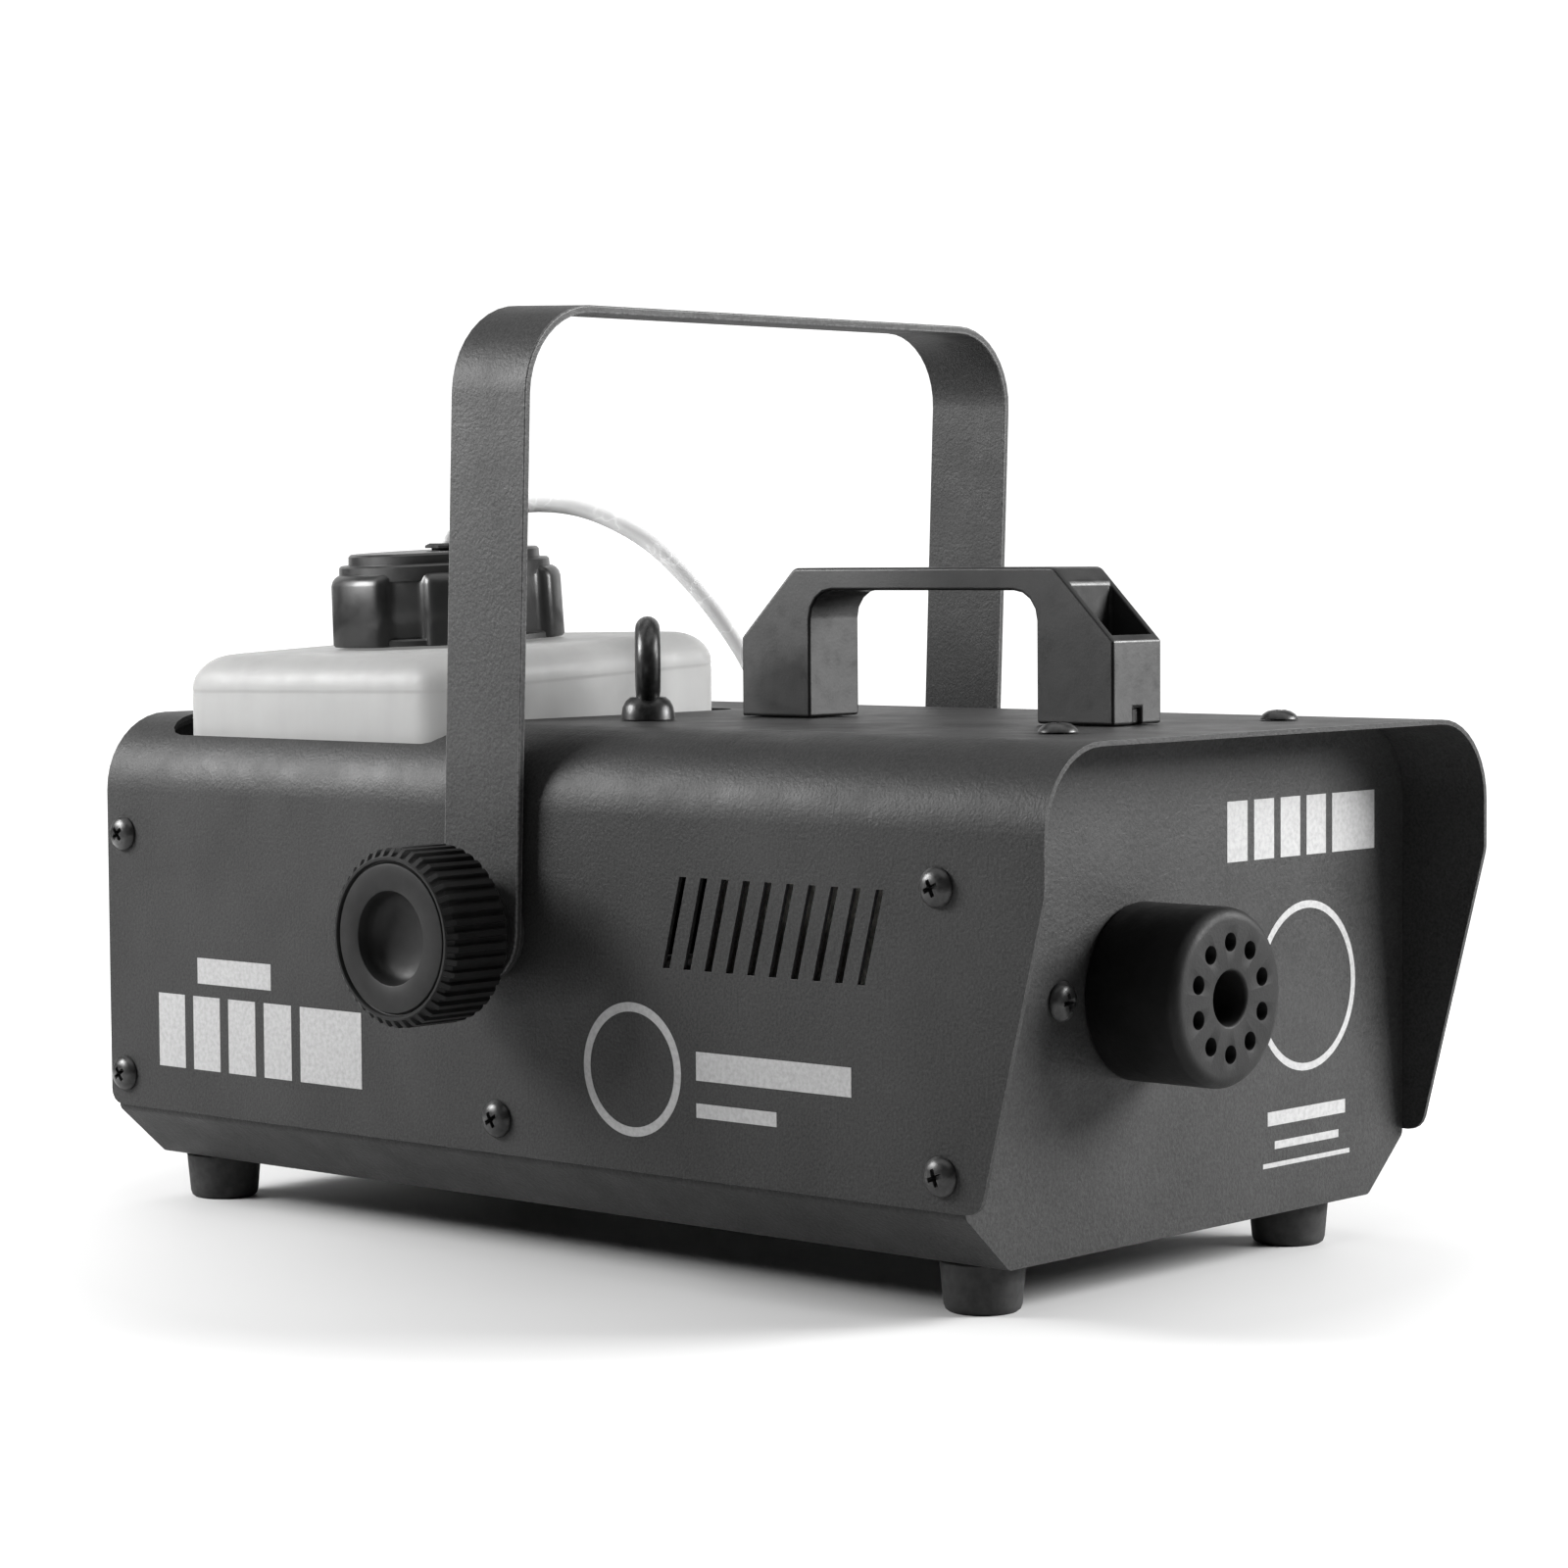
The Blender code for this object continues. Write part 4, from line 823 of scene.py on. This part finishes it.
def make_eyelet():
    low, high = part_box("safety_eyelet")
    at = middle("safety_eyelet")
    top = COVER_HIGH.z
    collar = [(0, top + 0.0062), (0.0046, top + 0.0060), (0.0058, top + 0.0050), (0.0066, top + 0.0034)]
    collar += [(0.0069, top + 0.0016), (0.0070, top + 0.0003), (0.0030, top + 0.0003)]
    collar += [(0.0030, low.z), (0, low.z)]
    add_piece("eyelet_collar", turned(collar, (at.x, at.y, 0), "+Z", 48), SCREW_LOOK, "body",
              ["safety_eyelet"])
    ring_r, wire_r = 0.0083, 0.0032
    centre = Vector((at.x, at.y, high.z - ring_r - wire_r))
    turn = Matrix.Rotation(math.radians(45), 3, "Z")
    across = turn @ Vector((0, 1, 0))
    bm = bmesh.new()
    rings = []
    for k in range(56):
        angle = 2 * math.pi * k / 56
        out = turn @ Vector((math.cos(angle), 0, math.sin(angle)))
        ring = []
        for j in range(20):
            a = 2 * math.pi * j / 20
            point = centre + out * (ring_r + wire_r * math.cos(a)) + across * wire_r * math.sin(a)
            ring.append(bm.verts.new(point))
        rings.append(ring)
    join_rings(bm, rings, loop=True)
    add_piece("eyelet_ring", bm, SCREW_LOOK, "body", sharp=60.0)


def make_feet():
    for end in ("front", "rear"):
        for name in SIDES:
            node = f"foot_{end}_{name}"
            at = middle(node)
            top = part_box(node)[1].z
            outside = [(0.0022, top), (0.0100, top), (0.0103, top - 0.0004), (0.0094, 0.0018)]
            outside += [(0.0090, 0.0006), (0.0082, 0.0)]
            recess = [(0.0054, 0.0), (0.0050, 0.0005), (0.0050, 0.0070), (0.0022, 0.0070)]
            bumper = turned(outside + recess, (at.x, at.y, 0), "+Z", 64, loop=True)
            add_piece(node + "_bumper", bumper, RUBBER_LOOK, "body", [node])


# Plain printed shapes on the cover and the front panel, and a painted highlight along the cover's left bend

# Underside and top of the ink, above the sheet
INK_LOW, INK_HIGH = 0.00003, 0.00007


def add_print(name, shapes, place, look=PRINT_LOOK):
    """Thin ink, or a thin layer in the look given. A shape is an outline, or an (outline, hole) pair of equal
    length, in the place's plane.
    """
    bm = bmesh.new()

    def ring(outline, height):
        return [bm.verts.new(place @ Vector((x, y, height))) for x, y in outline]

    for shape in shapes:
        if isinstance(shape, tuple):
            outside, inside = shape
            join_rings(bm, [ring(outside, INK_LOW), ring(outside, INK_HIGH),
                            ring(inside, INK_HIGH), ring(inside, INK_LOW)], loop=True)
        else:
            low, high = ring(shape, INK_LOW), ring(shape, INK_HIGH)
            join_rings(bm, [low, high])
            bm.faces.new(low)
            bm.faces.new(high)
    add_piece(name, bm, look, "body", sharp=20.0)


def stripes(x0, y0, count, width, height, gap):
    starts = [x0 + i * (width + gap) for i in range(count)]
    return [bar(start, y0, start + width, y0 + height) for start in starts]


def make_prints():
    """On the left side x runs forwards (-Y) and y up; on the front x runs to +X and y up."""
    side = Matrix(((0, 0, -1, COVER_LOW.x), (-1, 0, 0, 0), (0, 1, 0, 0), (0, 0, 0, 1)))
    rear = stripes(-0.1415, 0.0400, 4, 0.0110, 0.0200, 0.0035)
    rear += [bar(-0.0835, 0.0400, -0.0595, 0.0600), bar(-0.1250, 0.0635, -0.0950, 0.0705)]
    add_print("side_rear_print", rear, side)
    ring = (circle(0.0385, 0.0530, 0.0165), circle(0.0385, 0.0530, 0.0142))
    beside = [bar(0.0600, 0.0520, 0.1095, 0.0590), bar(0.0600, 0.0430, 0.0860, 0.0465)]
    add_print("side_centre_print", [ring] + beside, side)
    panel_y = -0.1425
    front = Matrix(((1, 0, 0, 0), (0, 0, -1, panel_y), (0, 1, 0, 0), (0, 0, 0, 1)))
    marks = stripes(0.0120, 0.1020, 4, 0.0085, 0.0150, 0.0028) + [bar(0.0572, 0.1020, 0.0762, 0.1170)]
    badge = (circle(0.0460, 0.0690, 0.0215), circle(0.0460, 0.0690, 0.0196))
    lines = [bar(0.0290, 0.0350, 0.0630, 0.0385), bar(0.0320, 0.0290, 0.0600, 0.0310)]
    lines += [bar(0.0270, 0.0245, 0.0650, 0.0257)]
    add_print("front_print", marks + [badge] + lines, front)
    # Pale strips in the lighter edge coat along the bend where the cover's top turns down at its left edge: a
    # painted highlight
    top, bend_x = Matrix.Translation((0, 0, COVER_HIGH.z)), -0.0694
    bend_highlights = [bar(bend_x, y, bend_x + width, y + length) for y, width, length in (
        (-0.1160, 0.0005, 0.0230), (-0.0920, 0.0008, 0.0280), (-0.0630, 0.0006, 0.0190),
        (-0.0420, 0.0004, 0.0260))]
    add_print("bend_painted_highlight", bend_highlights, top, EDGE_HIGHLIGHT_LOOK)


# Everything else keeps its CAD shape and gets a material; what isn't listed is black plastic

def make_small_parts():
    looks = {
        "knob_stud": STEEL_LOOK, "clamp_washer": STEEL_LOOK, "pivot_nut": STEEL_LOOK,
        "hose_filter": STEEL_LOOK, "thermostat": STEEL_LOOK, "heater_bracket": STEEL_LOOK,
        "pump_pipe": STEEL_LOOK, "friction_washer": RUBBER_LOOK, "cap_grommet": RUBBER_LOOK,
        "hose_grommet": RUBBER_LOOK, "heater_block": ALUMINIUM_LOOK, "heater_jacket": WOOL_LOOK,
        "control_board": BOARD_LOOK,
    }
    for name in sorted(NODES):
        if NODES[name].hide_render:
            continue
        look = next((looks[key] for key in looks if name.startswith(key)), PLASTIC_LOOK)
        NODES[name].data.materials.clear()
        NODES[name].data.materials.append(look)


# Studio

FLOOR_R = 0.62
# Strength of the world's light on the object, and of the white seen behind it
FILL, WHITE = 0.04, 1.5


def make_stage():
    disc = bmesh.new()
    bmesh.ops.create_circle(disc, cap_ends=True, segments=96, radius=FLOOR_R)
    floor = new_object("studio_floor", as_mesh("studio_floor", disc))
    floor.data.materials.append(floor_look())
    bpy.context.scene.world = studio_world()
    bpy.context.scene.view_settings.view_transform = "Standard"


def studio_world():
    """White behind the object, and a dimmer fill on it."""
    world = bpy.data.worlds.new("studio")
    world.use_nodes = True
    tree = world.node_tree
    fill = tree.nodes["Background"]
    fill.inputs["Color"].default_value = (1.0, 1.0, 1.0, 1.0)
    fill.inputs["Strength"].default_value = FILL
    white = tree.nodes.new("ShaderNodeBackground")
    white.inputs["Strength"].default_value = WHITE
    seen = tree.nodes.new("ShaderNodeLightPath")
    mix = tree.nodes.new("ShaderNodeMixShader")
    tree.links.new(seen.outputs["Is Camera Ray"], mix.inputs["Fac"])
    tree.links.new(fill.outputs["Background"], mix.inputs[1])
    tree.links.new(white.outputs["Background"], mix.inputs[2])
    tree.links.new(mix.outputs["Shader"], tree.nodes["World Output"].inputs["Surface"])
    return world


def area_light(name, at, target, width, height, power):
    """A softbox that lights the object but isn't seen itself."""
    light = bpy.data.lights.new(name, "AREA")
    light.shape = "RECTANGLE"
    light.size, light.size_y = width, height
    light.energy = power
    obj = new_object(name, light)
    obj.visible_camera = False
    obj.location = at
    obj.rotation_euler = (Vector(target) - Vector(at)).to_track_quat("-Z", "Y").to_euler()


def make_lights():
    area_light("overhead_softbox", (-0.15, -0.05, 1.5), (-0.1, -0.05, 0), 2.0, 2.0, 19)
    area_light("left_rear_softbox", (-0.46, 0.50, 0.40), (-0.09, 0.10, 0.12), 0.35, 0.25, 9)
    area_light("right_front_softbox", (0.62, -0.80, 0.48), (0, -0.12, 0.16), 0.5, 0.4, 27)
    area_light("far_softbox", (0.95, 0.90, 0.55), (0, 0, 0.17), 2.0, 1.0, 7)


def make_camera():
    data = bpy.data.cameras.new("camera")
    data.lens = CAMERA_LENS
    data.sensor_width = 36.0
    camera = new_object("camera", data)
    yaw, pitch, roll = (math.radians(a) for a in (CAMERA_YAW, CAMERA_PITCH, CAMERA_ROLL))
    camera.matrix_world = (Matrix.Translation(CAMERA_AT) @ Matrix.Rotation(yaw, 4, "Z")
                           @ Matrix.Rotation(RIGHT_ANGLE + pitch, 4, "X") @ Matrix.Rotation(roll, 4, "Z"))
    bpy.context.scene.camera = camera


make_camera()
make_hose()
make_sheet_metal()
make_screws()
make_knobs()
make_tank()
make_cap()
make_nozzle()
make_handle()
make_eyelet()
make_feet()
make_prints()
make_small_parts()
make_stage()
make_lights()
